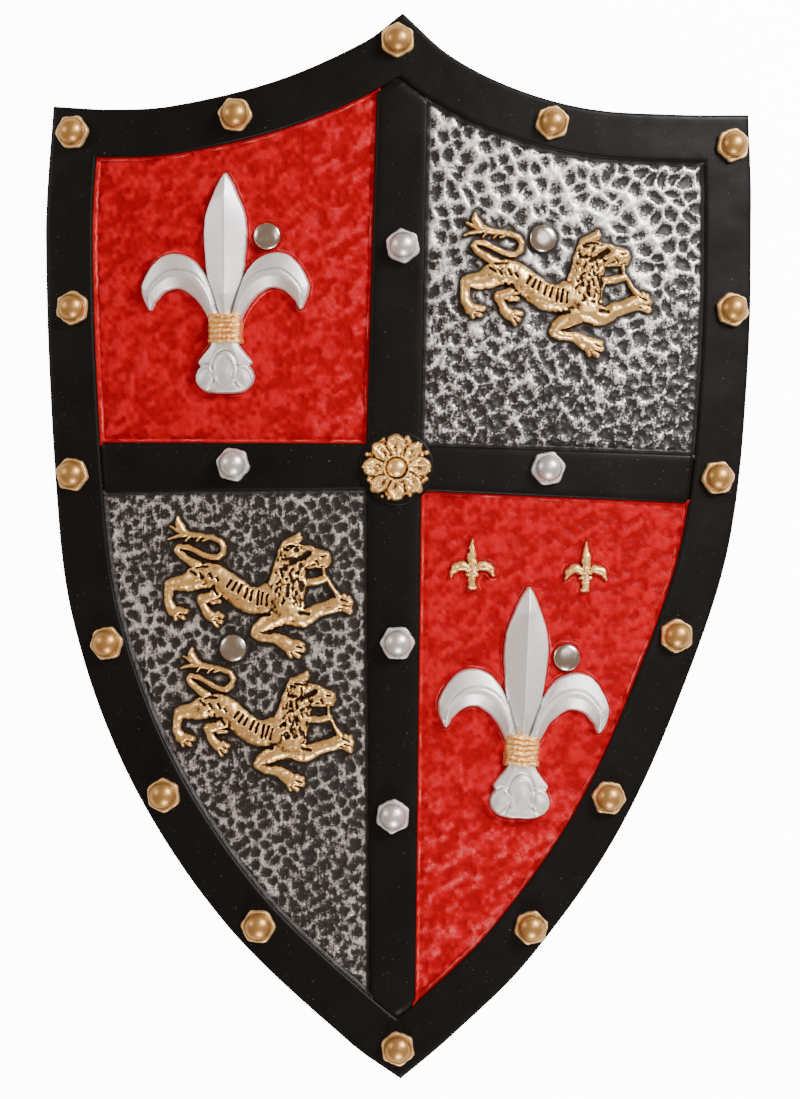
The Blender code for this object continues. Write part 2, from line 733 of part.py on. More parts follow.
def rivet_holes():
    """The holes that the four rivets go through."""
    radius = RIVET_SHANK / 2 + TOUCH_GAP
    rings = [circle(radius, -SINK), circle(radius, BORDER_THICKNESS)]

    def build(shell):
        for side in RIVETS:
            add_rings(shell, turned(rings, 0, rivet_place(side)))

    return mesh_object("rivet_holes", build)


def shield_body():
    """The whole casting: blank, sunk fields, relief and rivet holes, then the bend."""
    body = flat_plate()
    combine(body, field_cutter(), "DIFFERENCE")
    cut_into_strips(body)
    combine(body, nut_flanges(), "UNION")
    combine(body, nut_domes(), "UNION")
    combine(body, rosette(), "UNION")
    for sizes in LIONS:
        combine(body, lion(*sizes), "UNION")
    for sizes in FLEURS:
        combine(body, fleur(*sizes, FLEUR_EDGE, FLEUR_RISE, False), "UNION")
    for sizes in SMALL_FLEURS:
        combine(body, fleur(*sizes, SMALL_FLEUR_EDGE, SMALL_FLEUR_RISE, True), "UNION")
    combine(body, rivet_holes(), "DIFFERENCE")
    triangulate(body)
    bend_casting(body)
    return body


def rivet(name, middle):
    """A double-cap rivet: domed front cap, shank through the casting and the strap, flat rear cap."""
    cap = RIVET_CAP / 2
    shank = RIVET_SHANK / 2
    rear = REAR_CAP / 2
    seat = FIELD_THICKNESS + TOUCH_GAP
    under = -STRAP_THICKNESS - 2 * TOUCH_GAP
    rings = [
        circle(rear - REAR_CAP_RISE / 2, under - REAR_CAP_RISE),
        circle(rear, under),
        circle(shank, under),
        circle(shank, seat),
        circle(cap, seat),
    ]
    rings += dome_rings(cap, seat + RIVET_CAP_RIM, RIVET_CAP_RISE - RIVET_CAP_RIM, (0, 50))
    made = mesh_object(name, lambda shell: add_rings(shell, rings))
    angle = math.asin(middle.x / FACE_RADIUS)
    made.location = bend(middle.x, middle.y, 0)
    made.rotation_euler = (0, angle, 0)
    return made


def strap_path(left, right):
    """The middle line of a strap from end to end, as points and the directions away from the shield."""
    drop = -TOUCH_GAP - STRAP_THICKNESS / 2
    lowest = STRAP_FLOOR_GAP + STRAP_THICKNESS / 2
    path = []
    for u in (left.x - STRAP_END, left.x, left.x + STRAP_SEAT):
        path.append(bend(u, 0, drop))
    span = right.x - left.x - 2 * STRAP_SEAT
    start = bend(left.x + STRAP_SEAT, 0, drop)
    for step in range(1, STRAP_STEPS):
        share = step / STRAP_STEPS
        sag = math.sin(math.pi * share) ** STRAP_CURVE_SHARE
        path.append(Vector((start.x + share * span, 0, start.z + (lowest - start.z) * sag)))
    for u in (right.x - STRAP_SEAT, right.x, right.x + STRAP_END):
        path.append(bend(u, 0, drop))
    return path


def strap(name, left_rivet, right_rivet):
    """A flat woven strap held under two rear caps, bowed away from the back for a hand or an arm."""
    left = rivet_place(left_rivet)
    right = rivet_place(right_rivet)
    path = strap_path(left, right)
    rings = []
    for k, point in enumerate(path):
        run = (path[min(k + 1, len(path) - 1)] - path[max(k - 1, 0)]).normalized()
        away = Vector((-run.z, 0, run.x)) * STRAP_THICKNESS / 2
        share = (point.x - left.x) / (right.x - left.x)
        middle = Vector((point.x, left.y + (right.y - left.y) * share, point.z))
        side = Vector((0, STRAP_WIDTH / 2, 0))
        rings.append([middle - side - away, middle + side - away, middle + side + away, middle - side + away])
    made = mesh_object(name, lambda shell: add_rings(shell, rings))
    hole = RIVET_SHANK / 2 + TOUCH_GAP
    reach = 2 * STRAP_THICKNESS
    for place in (left, right):
        punch = mesh_object("punch", lambda shell: add_rings(shell, [circle(hole, -reach), circle(hole, reach)]))
        punch.location = bend(place.x, place.y, 0)
        punch.rotation_euler = (0, math.asin(place.x / FACE_RADIUS), 0)
        bpy.context.view_layer.update()
        combine(made, punch, "DIFFERENCE")
    triangulate(made)
    return made


def material(name, color, roughness, metallic):
    made = bpy.data.materials.new(name)
    made.use_nodes = True
    shader = made.node_tree.nodes["Principled BSDF"]
    shader.inputs["Base Color"].default_value = (*color, 1)
    shader.inputs["Roughness"].default_value = roughness
    shader.inputs["Metallic"].default_value = metallic
    return made


def shade(made, finish):
    made.data.materials.clear()
    made.data.materials.append(finish)
    made.data.shade_smooth()
    made.data.set_sharp_from_angle(angle=math.radians(30))


clear_scene()
painted_foam = material("painted_foam", (0.020, 0.018, 0.016), 0.45, 0.0)
nickel = material("nickel", (0.62, 0.59, 0.55), 0.18, 1.0)
webbing = material("webbing", (0.015, 0.015, 0.016), 0.85, 0.0)
shade(shield_body(), painted_foam)
for side in RIVETS:
    shade(rivet(f"rivet_{side}", rivet_place(side)), nickel)
for name, (left_rivet, right_rivet) in STRAPS.items():
    shade(strap(name, left_rivet, right_rivet), webbing)
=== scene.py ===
# The looks of a moulded foam heater shield, painted by hand and lying face up on a pale floor.
# All lengths are in metres, X runs across the shield, Y to its top edge and Z out of its face.
import math

import bmesh
import bpy
import numpy as np
from mathutils import Matrix, Vector


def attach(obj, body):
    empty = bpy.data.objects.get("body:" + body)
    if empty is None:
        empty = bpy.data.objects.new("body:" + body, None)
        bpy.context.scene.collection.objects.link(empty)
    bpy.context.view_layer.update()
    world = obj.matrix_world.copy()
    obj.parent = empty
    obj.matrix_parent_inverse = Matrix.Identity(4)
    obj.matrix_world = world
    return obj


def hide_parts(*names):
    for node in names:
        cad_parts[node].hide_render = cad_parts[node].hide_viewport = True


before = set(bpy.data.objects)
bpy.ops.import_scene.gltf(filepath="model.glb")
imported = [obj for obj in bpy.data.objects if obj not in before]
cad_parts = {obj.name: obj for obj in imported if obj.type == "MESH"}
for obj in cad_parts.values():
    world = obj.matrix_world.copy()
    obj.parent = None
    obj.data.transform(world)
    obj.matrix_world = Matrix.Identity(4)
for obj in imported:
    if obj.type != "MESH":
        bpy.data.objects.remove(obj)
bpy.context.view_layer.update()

# Camera: it looks straight down on the shield from a little over a metre, with the top edge up.
# The photograph's frame holds just under half a metre of the face from top to bottom.
CAMERA_HEIGHT = 1.25
FRAME_TALL = 0.4946
SENSOR = 36
FACE_MIDDLE = Vector((0.0007, -0.0016, 0.0303))

camera = bpy.data.objects.new("camera", bpy.data.cameras.new("camera"))
camera.data.sensor_width = SENSOR
camera.data.lens = SENSOR * CAMERA_HEIGHT / FRAME_TALL
camera.location = FACE_MIDDLE + Vector((0, 0, CAMERA_HEIGHT))
bpy.context.scene.collection.objects.link(camera)
bpy.context.scene.camera = camera

# Light and floor: a strong soft box beyond the upper right corner, a weaker one before the bottom tip, a weak
# one at the left, a small one high on the right and a dim warm surround. The plain white floor glows for the
# camera alone, so that it looks lit from within and adds no light to the shield.
FLOOR_SIZE = 6.0
FLOOR_DROP = 0.0004
FLOOR_COLOR = (0.86, 0.86, 0.86)
FLOOR_ROUGHNESS = 0.9
FLOOR_GLOW = 12.0
SURROUND = 0.40
SURROUND_COLOR = (0.95, 0.68, 0.50)


def soft_box(name, place, size, power):
    """A square area light that faces the middle of the shield."""
    lamp = bpy.data.lights.new(name, "AREA")
    lamp.size = size
    lamp.energy = power
    box = bpy.data.objects.new(name, lamp)
    box.location = place
    box.rotation_euler = (FACE_MIDDLE - box.location).to_track_quat("-Z", "Y").to_euler()
    bpy.context.scene.collection.objects.link(box)


soft_box("key_box", (1.00, 0.85, 1.00), 0.5, 37)
soft_box("low_box", (0.15, -1.25, 0.75), 0.4, 15)
soft_box("left_box", (-1.3, 0.5, 0.7), 0.5, 5)
soft_box("high_box", (0.46, 0.36, 1.58), 0.55, 3.0)
surround = bpy.data.worlds.new("surround")
surround.use_nodes = True
surround.node_tree.nodes["Background"].inputs["Color"].default_value = (*SURROUND_COLOR, 1)
surround.node_tree.nodes["Background"].inputs["Strength"].default_value = SURROUND
bpy.context.scene.world = surround

half = FLOOR_SIZE / 2
floor_mesh = bpy.data.meshes.new("floor")
corners = [(-half, -half), (half, -half), (half, half), (-half, half)]
floor_mesh.from_pydata([(x, y, -FLOOR_DROP) for x, y in corners], [], [(0, 1, 2, 3)])
floor = bpy.data.objects.new("floor", floor_mesh)
bpy.context.scene.collection.objects.link(floor)
floor_paint = bpy.data.materials.new("floor_paint")
floor_paint.use_nodes = True
floor_nodes, floor_links = floor_paint.node_tree.nodes, floor_paint.node_tree.links
floor_shader = floor_nodes["Principled BSDF"]
floor_shader.inputs["Base Color"].default_value = (*FLOOR_COLOR, 1)
floor_shader.inputs["Roughness"].default_value = FLOOR_ROUGHNESS
floor_shader.inputs["Emission Color"].default_value = (1, 1, 1, 1)
seen = floor_nodes.new("ShaderNodeLightPath")
glow = floor_nodes.new("ShaderNodeMath")
glow.operation = "MULTIPLY"
glow.inputs[1].default_value = FLOOR_GLOW
floor_links.new(seen.outputs["Is Camera Ray"], glow.inputs[0])
floor_links.new(glow.outputs["Value"], floor_shader.inputs["Emission Strength"])
floor.data.materials.append(floor_paint)

# The border: the raised black rim that runs round the whole shield, moulded in one with it. Its outer
# edge is softly rounded, its front is a little uneven, and its back lies on the ground at both sides.
SHIELD_WIDTH = 0.3226
SHIELD_HEIGHT = 0.4804
BACK_RADIUS = 0.620
FIELD_THICKNESS = 0.0095
BORDER_THICKNESS = 0.0120
BORDER_WIDTH = 0.0216
REST_TRIM = 0.0024
FACE_RADIUS = BACK_RADIUS + FIELD_THICKNESS
BACK_APEX = BACK_RADIUS * (1 - math.cos(math.asin(SHIELD_WIDTH / 2 / FACE_RADIUS))) - REST_TRIM
BORDER_SPACING = 0.0013
BORDER_REACH = 0.0226
FRONT_UNEVEN = 0.00016
CORNER_SEARCH = 60
# The outline's four runs from corner to corner, in percent of the width and height from the middle
RIGHT_EDGE = (
    (0.3, -50.0), (7.2, -46.1), (18.2, -38.9), (31.0, -26.8), (41.2, -11.6),
    (46.9, 0.6), (49.5, 16.8), (50.0, 32.9), (49.6, 41.1),
)
TOP_RIGHT_EDGE = ((49.6, 41.1), (39.8, 40.9), (26.9, 41.2), (16.3, 43.0), (7.3, 46.0), (0.6, 50.0))
TOP_LEFT_EDGE = ((0.6, 50.0), (-4.8, 47.3), (-17.3, 43.7), (-31.6, 41.6), (-40.1, 41.4), (-48.9, 41.9))
LEFT_EDGE = (
    (-48.9, 41.9), (-50.0, 29.5), (-48.6, 6.7), (-46.1, -6.9), (-38.1, -21.6),
    (-24.7, -35.2), (-6.8, -46.6), (0.3, -50.0),
)
# The border's section: how far in from the outer edge, and how high over the back, in millimetres
BORDER_SECTION = (
    (22.6, 2.0), (21.0, 0.3), (19.5, 0.0), (10.0, 0.0), (2.0, 0.0), (0.9, 0.05), (0.3, 0.35), (0.0, 1.1),
    (0.0, 5.0), (0.0, 10.2), (0.15, 11.1), (0.6, 11.65), (1.3, 11.92), (2.4, 12.0), (4.0, 12.0), (6.0, 12.0),
    (8.0, 12.0), (10.0, 12.0), (12.0, 12.0), (14.0, 12.0), (16.0, 12.0), (18.0, 12.0), (19.6, 12.0),
    (20.6, 11.96), (21.2, 11.8), (21.6, 11.4), (21.9, 10.6), (22.2, 8.5),
)


def shield_place(points):
    """Places given as percent of the width and height, in metres on the flat face."""
    return np.array(points, float) * (SHIELD_WIDTH / 100, SHIELD_HEIGHT / 100)


def bent(u, v, h):
    """Places on the flat casting (across, up, out from its back) as points of the curved shield."""
    angle = np.arcsin(np.asarray(u) / FACE_RADIUS)
    reach = BACK_RADIUS + np.asarray(h)
    z = reach * np.cos(angle) - BACK_RADIUS + BACK_APEX
    return np.stack(np.broadcast_arrays(reach * np.sin(angle), v, np.maximum(z, 0.0)), axis=-1)


def smooth_run(points, spacing):
    """Points about a spacing apart on a smooth curve through the given points."""
    points = np.array(points, float)
    slopes = np.vstack([points[1] - points[0], points[2:] - points[:-2], points[-1] - points[-2]])
    slopes /= np.linalg.norm(slopes, axis=1)[:, None]
    curve = []
    for a, b, slope_a, slope_b in zip(points, points[1:], slopes, slopes[1:]):
        length = np.linalg.norm(b - a)
        t = np.arange(max(1, round(length / spacing)))[:, None]
        t = t / len(t)
        curve.append(
            a * (2 * t**3 - 3 * t**2 + 1) + b * (3 * t**2 - 2 * t**3)
            + slope_a * length * (t**3 - 2 * t**2 + t) + slope_b * length * (t**3 - t**2)
        )
    return np.vstack(curve + [points[-1:]])


def pushed_in(run, distance):
    """An open run moved to its left by a distance."""
    along = np.vstack([run[1] - run[0], run[2:] - run[:-2], run[-1] - run[-2]])
    along /= np.linalg.norm(along, axis=1)[:, None]
    return run + np.column_stack([-along[:, 1], along[:, 0]]) * distance


def line_share(a, b, c, d):
    """How far along a-b and along c-d, as shares, the two lines cross."""
    one, two, between = b - a, d - c, c - a
    turn = one[0] * two[1] - one[1] * two[0]
    if abs(turn) < 1e-15:
        return -1.0, -1.0
    along_one = (between[0] * two[1] - between[1] * two[0]) / turn
    return along_one, (between[0] * one[1] - between[1] * one[0]) / turn


def cut_corner(first, second):
    """Two runs cut where they cross, so that one ends where the next begins."""
    tail = first[-CORNER_SEARCH:]
    head = second[:CORNER_SEARCH]
    for i in reversed(range(len(tail) - 1)):
        for j in range(len(head) - 1):
            s, t = line_share(tail[i], tail[i + 1], head[j], head[j + 1])
            if 0 <= s <= 1 and 0 <= t <= 1:
                point = tail[i] + (tail[i + 1] - tail[i]) * s
                kept = first[:len(first) - len(tail) + i + 1]
                return np.vstack([kept, point]), np.vstack([point, second[j + 1:]])
    middle = (first[-1] + second[0]) / 2
    return np.vstack([first[:-1], middle]), np.vstack([middle, second[1:]])


def face_runs(inset):
    """The four smooth runs of the face's edge, or of a line inside it, cut at the corners."""
    tables = (RIGHT_EDGE, TOP_RIGHT_EDGE, TOP_LEFT_EDGE, LEFT_EDGE)
    runs = [pushed_in(smooth_run(shield_place(table), BORDER_SPACING), inset) for table in tables]
    for k in range(4):
        runs[k], runs[(k + 1) % 4] = cut_corner(runs[k], runs[(k + 1) % 4])
    return runs


def lengths_along(run):
    """How far along a run each of its points is."""
    return np.concatenate([[0], np.cumsum(np.linalg.norm(np.diff(run, axis=0), axis=1))])


def evenly(run, count):
    """The same run in count equal steps."""
    length = lengths_along(run)
    targets = np.linspace(0, length[-1], count + 1)
    return np.column_stack([np.interp(targets, length, run[:, axis]) for axis in (0, 1)])


def lattice_noise(x, y, size, seed):
    """Smooth noise from -1 to 1 with bumps of about one size, the same on every run."""
    x, y = np.asarray(x) / size, np.asarray(y) / size
    i, j = np.floor(x).astype(np.int64), np.floor(y).astype(np.int64)
    fx, fy = x - i, y - j
    fx, fy = fx**3 * (fx * (fx * 6 - 15) + 10), fy**3 * (fy * (fy * 6 - 15) + 10)

    def corner(di, dj):
        return hashed(i + di, j + dj, seed) * 2 - 1

    low = corner(0, 0) * (1 - fx) + corner(1, 0) * fx
    high = corner(0, 1) * (1 - fx) + corner(1, 1) * fx
    return low * (1 - fy) + high * fy


def hashed(i, j, seed):
    """A fixed number from 0 to 1 for each whole-number pair."""
    mixed = np.sin(i * 127.1 + j * 311.7 + seed * 74.7) * 43758.5453
    return mixed - np.floor(mixed)


def fade(low, high, value):
    """0 below low, 1 above high, and an even curve between them."""
    t = np.clip((np.asarray(value) - low) / (high - low), 0, 1)
    return t * t * (3 - 2 * t)


def add_piece(name, mesh, finish):
    """A finished piece: smooth faces that point outwards, its finish, and an object at the origin."""
    shell = bmesh.new()
    shell.from_mesh(mesh)
    bmesh.ops.recalc_face_normals(shell, faces=shell.faces)
    shell.to_mesh(mesh)
    shell.free()
    mesh.shade_smooth()
    mesh.materials.clear()
    mesh.materials.append(finish)
    piece = bpy.data.objects.new(name, mesh)
    bpy.context.scene.collection.objects.link(piece)
    return piece


def sheet_faces(rows, columns, wrap_rows=False, wrap_columns=False):
    """The four-sided faces of a grid of points, as rows of point numbers."""
    i = np.arange(rows if wrap_rows else rows - 1)[:, None]
    j = np.arange(columns if wrap_columns else columns - 1)[None, :]
    i2, j2 = (i + 1) % rows, (j + 1) % columns
    faces = [i * columns + j, i2 * columns + j, i2 * columns + j2, i * columns + j2]
    return np.stack([face.ravel() for face in np.broadcast_arrays(*faces)], axis=1)


def mesh_of(name, points, faces, **marks):
    """A mesh from arrays of points and faces, with named values kept at its points."""
    mesh = bpy.data.meshes.new(name)
    faces = [list(map(int, face)) for face in faces]
    mesh.from_pydata(np.asarray(points).reshape(-1, 3).tolist(), [], faces)
    for mark, values in marks.items():
        kept = mesh.attributes.new(mark, "FLOAT", "POINT")
        kept.data.foreach_set("value", np.asarray(values, np.float32).ravel())
    return mesh


def new_material(name, metallic, specular=0.5):
    """A material whose Principled shader gets its other inputs from nodes."""
    made = bpy.data.materials.new(name)
    made.use_nodes = True
    shader = made.node_tree.nodes["Principled BSDF"]
    shader.inputs["Metallic"].default_value = metallic
    shader.inputs["Specular IOR Level"].default_value = specular
    return made, made.node_tree, shader


def node(tree, kind, inputs=None, **settings):
    """A node with its settings and inputs. An input is a value or another node's output."""
    made = tree.nodes.new(kind)
    for name, value in settings.items():
        setattr(made, name, value)
    for name, value in (inputs or {}).items():
        if isinstance(value, bpy.types.NodeSocket):
            tree.links.new(value, made.inputs[name])
        else:
            made.inputs[name].default_value = value
    return made


def ramp(tree, value, low, high):
    """A node output that goes from 0 to 1 as a value goes from low to high."""
    return node(tree, "ShaderNodeMapRange", {"Value": value, "From Min": low, "From Max": high},
                interpolation_type="SMOOTHSTEP").outputs["Result"]


def blend(tree, share, first, second):
    """A node output that goes from one colour to another by a share."""
    mix = tree.nodes.new("ShaderNodeMix")
    mix.data_type = "RGBA"
    tree.links.new(share, mix.inputs["Factor"])
    for name, value in (("A", first), ("B", second)):
        slot = next(s for s in mix.inputs if s.name == name and s.type == "RGBA")
        if isinstance(value, bpy.types.NodeSocket):
            tree.links.new(value, slot)
        else:
            slot.default_value = (*value, 1)
    return next(s for s in mix.outputs if s.type == "RGBA")


def open_socket(group, name, kind, value=None, way="INPUT"):
    """One more named input or output on a node group, with its first value where it has one."""
    socket = group.interface.new_socket(name, in_out=way, socket_type="NodeSocket" + kind)
    if value is not None:
        socket.default_value = value


def mottle_group():
    """A node group for every mottled or grained finish: noise of a given size on the piece's coordinates."""
    group = bpy.data.node_groups.new("mottle", "ShaderNodeTree")
    open_socket(group, "Size", "Float", 0.001)
    open_socket(group, "Detail", "Float", 2.0)
    open_socket(group, "Turn", "Vector")
    open_socket(group, "Stretch", "Vector")
    open_socket(group, "Value", "Float", way="OUTPUT")
    given = group.nodes.new("NodeGroupInput").outputs
    place = node(group, "ShaderNodeTexCoord").outputs["Object"]
    turned = node(group, "ShaderNodeMapping", {
        "Vector": place, "Rotation": given["Turn"], "Scale": given["Stretch"]}).outputs["Vector"]
    scale = node(group, "ShaderNodeMath", {0: 1.0, 1: given["Size"]}, operation="DIVIDE").outputs["Value"]
    grained = node(group, "ShaderNodeTexNoise", {
        "Vector": turned, "Scale": scale, "Detail": given["Detail"], "Roughness": 0.6})
    group.links.new(grained.outputs["Fac"], group.nodes.new("NodeGroupOutput").inputs["Value"])
    return group


mottle = mottle_group()


def noise(tree, size, detail=2.0, stretch=(1, 1, 1), turn=0.0):
    """Noise with features of about a size in metres, from the shared node group."""
    made = tree.nodes.new("ShaderNodeGroup")
    made.node_tree = mottle
    made.inputs["Size"].default_value = size
    made.inputs["Detail"].default_value = detail
    made.inputs["Turn"].default_value = (0, 0, turn)
    made.inputs["Stretch"].default_value = stretch
    return made.outputs["Value"]


def math_node(tree, operation, first, second=0.5):
    """A node output with the sum, product or other result of one or two values."""
    return node(tree, "ShaderNodeMath", {0: first, 1: second}, operation=operation).outputs["Value"]


def mark_of(tree, name):
    """A node output that reads a value kept at the piece's points."""
    return node(tree, "ShaderNodeAttribute", attribute_name=name).outputs["Fac"]


def vary_gloss(tree, shader, value, rough_at_0, rough_at_1):
    """Feeds a shader a roughness that follows a value from 0 to 1."""
    gloss = node(tree, "ShaderNodeMapRange", {"Value": value, "To Min": rough_at_0, "To Max": rough_at_1})
    tree.links.new(gloss.outputs["Result"], shader.inputs["Roughness"])


def bump(tree, shader, height, depth):
    """Feeds a bump of a real depth in metres to a shader."""
    made = node(tree, "ShaderNodeBump", {"Height": height, "Distance": depth, "Strength": 1.0})
    tree.links.new(made.outputs["Normal"], shader.inputs["Normal"])


def black_paint():
    """Satin brownish black over foam skin: faint pale specks, soft changes of gloss and a fine grain."""
    made, tree, shader = new_material("black_paint", 0.0, 0.12)
    specks = ramp(tree, noise(tree, 0.0011, 1.0), 0.735, 0.79)
    cloud = noise(tree, 0.03, 3.0)
    base = blend(tree, cloud, (0.0030, 0.0024, 0.0022), (0.0085, 0.0072, 0.0066))
    tree.links.new(blend(tree, specks, base, (0.07, 0.064, 0.056)), shader.inputs["Base Color"])
    vary_gloss(tree, shader, noise(tree, 0.012, 4.0), 0.30, 0.46)
    bump(tree, shader, noise(tree, 0.0009, 3.0), 0.00005)
    return made


def border_piece(finish):
    """The border as one closed ring: its section carried round the outline, mitred at the corners."""
    outer, inner = [], []
    for edge, line in zip(face_runs(0.0), face_runs(BORDER_REACH)):
        count = round(np.linalg.norm(np.diff(edge, axis=0), axis=1).sum() / BORDER_SPACING)
        outer.append(evenly(edge, count)[:-1])
        inner.append(evenly(line, count)[:-1])
    outer, inner = np.vstack(outer), np.vstack(inner)
    section = np.array(BORDER_SECTION) / 1000
    share = (section[:, 0] / BORDER_REACH)[None, :, None]
    flat = outer[:, None, :] * (1 - share) + inner[:, None, :] * share
    u, v = flat[..., 0], flat[..., 1]
    front = fade(0.008, BORDER_THICKNESS, section[:, 1])[None, :]
    wave = lattice_noise(u, v, 0.016, 3) + 0.35 * lattice_noise(u, v, 0.005, 4)
    height = section[None, :, 1] + (wave - 1) * FRONT_UNEVEN * front
    faces = sheet_faces(*u.shape, wrap_rows=True, wrap_columns=True)
    return add_piece("border", mesh_of("border", bent(u, v, height), faces), finish)


black = black_paint()
border = border_piece(black)
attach(border, "root")
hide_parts("shield_body")

# The cross: two black bars moulded in one with the border, a hair lower than it, so that a fine groove
# shows where the border's inner edge runs over their ends.
CROSS_DROP = 0.00025
CROSSBAR_DROP = 0.00010
GROOVE_DEPTH = 0.0018
GROOVE_WIDTH = 0.0009
BAR_SPACING = 0.0012
# Each bar's stations: how far along in percent, how far aside its middle is, and its width
UPRIGHT = ((37.1, 0.0013, 0.0229), (9.0, -0.0020, 0.0243), (-40.7, -0.0027, 0.0202))
UPRIGHT_ENDS = (46.5, -46.8)
CROSSBAR_HEIGHT = 7.4
CROSSBAR = ((-42.2, 0.0002, 0.0223), (-4.8, 0.0002, 0.0202), (3.4, -0.0006, 0.0202), (41.1, -0.0050, 0.0218))
CROSSBAR_ENDS = (-43.8, 43.0)
# The bars' section: share of the half width from the middle, and depth below the front in millimetres
BAR_SECTION = (
    (-1.05, 4.5), (-1.03, 1.2), (-0.99, 0.5), (-0.95, 0.2), (-0.88, 0.04), (-0.7, 0), (-0.5, 0), (-0.25, 0),
    (0, 0), (0.25, 0), (0.5, 0), (0.7, 0), (0.88, 0.04), (0.95, 0.2), (0.99, 0.5), (1.03, 1.2), (1.05, 4.5),
)


def polygon_distance(u, v, loop):
    """How far each place is inside a closed loop, negative outside it."""
    u, v = np.asarray(u, float), np.asarray(v, float)
    nearest = np.full(u.shape, np.inf)
    inside = np.zeros(u.shape, bool)
    for a, b in zip(loop, np.roll(loop, -1, axis=0)):
        du, dv = b - a
        length = max(du * du + dv * dv, 1e-18)
        t = np.clip(((u - a[0]) * du + (v - a[1]) * dv) / length, 0, 1)
        nearest = np.minimum(nearest, (u - a[0] - t * du) ** 2 + (v - a[1] - t * dv) ** 2)
        if dv:
            inside ^= ((a[1] > v) != (b[1] > v)) & (u < (v - a[1]) / dv * du + a[0])
    return np.where(inside, 1, -1) * np.sqrt(nearest)


def carried_on(at, line, value):
    """A line through stations, carried straight on beyond its two ends."""
    slopes = np.diff(line) / np.diff(at)
    low = line[0] + (value - at[0]) * slopes[0]
    high = line[-1] + (value - at[-1]) * slopes[-1]
    return np.where(value < at[0], low, np.where(value > at[-1], high, np.interp(value, at, line)))


def upright_side(side, v):
    """Where an edge of the upright bar runs, left (-1) or right (1), at each height."""
    at, middle, width = np.array(UPRIGHT)[::-1].T
    return carried_on(at * SHIELD_HEIGHT / 100, middle + side * (width / 2), v)


def crossbar_side(side, u):
    """Where an edge of the crossbar runs, lower (-1) or upper (1), across the shield."""
    at, middle, width = np.array(CROSSBAR).T
    line = CROSSBAR_HEIGHT * SHIELD_HEIGHT / 100 + middle + side * (width / 2)
    return carried_on(at * SHIELD_WIDTH / 100, line, u)


inner_line = np.vstack([run[:-1] for run in face_runs(BORDER_WIDTH)])


def bar_piece(name, along, low_edge, high_edge, drop, swap):
    """One bar: its section carried from end to end, with a groove where it meets the border."""
    section = np.array(BAR_SECTION)
    share = (section[None, :, 0] + 1) / 2
    across = low_edge[:, None] * (1 - share) + high_edge[:, None] * share
    run = np.broadcast_to(along[:, None], across.shape)
    u, v = (across, run) if swap else (run, across)
    into = polygon_distance(u, v, inner_line[::3])
    groove = GROOVE_DEPTH * np.exp(-((into - 0.0002) / GROOVE_WIDTH) ** 2)
    wave = (lattice_noise(u, v, 0.015, 8) - 1) * FRONT_UNEVEN
    height = BORDER_THICKNESS - drop - section[None, :, 1] / 1000 - groove + wave
    faces = sheet_faces(*u.shape, wrap_columns=True).tolist()
    ends = [list(range(u.shape[1])), list(range(u.size - u.shape[1], u.size))]
    return add_piece(name, mesh_of(name, bent(u, v, height), faces + ends), black)


top_end, low_end = (end * SHIELD_HEIGHT / 100 for end in UPRIGHT_ENDS)
stations = np.arange(low_end, top_end, BAR_SPACING)
upright = bar_piece("cross_upright", stations, upright_side(-1, stations), upright_side(1, stations),
                    CROSS_DROP, True)
left_end, right_end = (end * SHIELD_WIDTH / 100 for end in CROSSBAR_ENDS)
stations = np.arange(left_end, right_end, BAR_SPACING)
crossbar = bar_piece("crossbar", stations, crossbar_side(-1, stations), crossbar_side(1, stations),
                     CROSS_DROP + CROSSBAR_DROP, False)
for bar in (upright, crossbar):
    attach(bar, "root")
    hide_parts("shield_body")

# The plain back of the casting: the skin between the border's back edges, moulded flat and curved like
# the face. It can't be seen in the photograph, so it is smooth black with a faint moulding grain.
BACK_INSET = 0.0206
BACK_RECESS = 0.0004
BACK_THICKNESS = 0.0020
BACK_RINGS = 30
BACK_SPACING = 0.0060
BACK_GRAIN = 0.00010


def back_piece(finish):
    """The back skin: rings from the border's inside to the middle, on a back and a hidden front side."""
    runs = face_runs(BACK_INSET)
    counts = [round(np.linalg.norm(np.diff(run, axis=0), axis=1).sum() / BACK_SPACING) for run in runs]
    loop = np.vstack([evenly(run, count)[:-1] for run, count in zip(runs, counts)])
    middle = np.array((0.0, 0.03))
    shares = np.linspace(1, 0.02, BACK_RINGS)
    rings = [middle + (loop - middle) * share for share in shares]
    flat = np.stack(rings + rings[::-1])
    height = np.full(flat.shape[:2], BACK_RECESS)
    height += BACK_GRAIN * lattice_noise(flat[..., 0], flat[..., 1], 0.012, 15)
    height[BACK_RINGS:] = BACK_RECESS + BACK_THICKNESS
    faces = sheet_faces(*flat.shape[:2], wrap_columns=True).tolist()
    # The innermost rings on both sides are joined by the sheet, and the outer ones by a last strip
    rows, columns = flat.shape[:2]
    last = (rows - 1) * columns
    for j in range(columns):
        faces.append([last + j, j, (j + 1) % columns, last + (j + 1) % columns])
    # The sheet folds over at the smallest ring, so that ring's hole is closed by two caps
    inner = (BACK_RINGS - 1) * columns
    front = inner + columns
    faces = [face for face in faces if not (inner <= face[0] < front and face[1] >= front)]
    faces.append([inner + j for j in range(columns)])
    faces.append([front + j for j in range(columns)])
    mesh = mesh_of("back", bent(flat[..., 0], flat[..., 1], height), faces)
    return add_piece("back", mesh, finish)


back = back_piece(black)
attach(back, "root")
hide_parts("shield_body")

# The 21 domed nuts round the border and on the bars: false fastenings moulded in one with the casting and
# painted by hand, bronze gold for the sixteen on the border and silver for the five on the bars.
NUT_ACROSS = 0.0162
NUT_FLANGE = 0.0030
DOME_DIAMETER = 0.0122
DOME_RISE = 0.0053
NUT_SIDES = 60
NUT_TURN = 23.0
NUT_SHAPES = 4
CORNER_POWER = 16
DOME_STEPS = 12
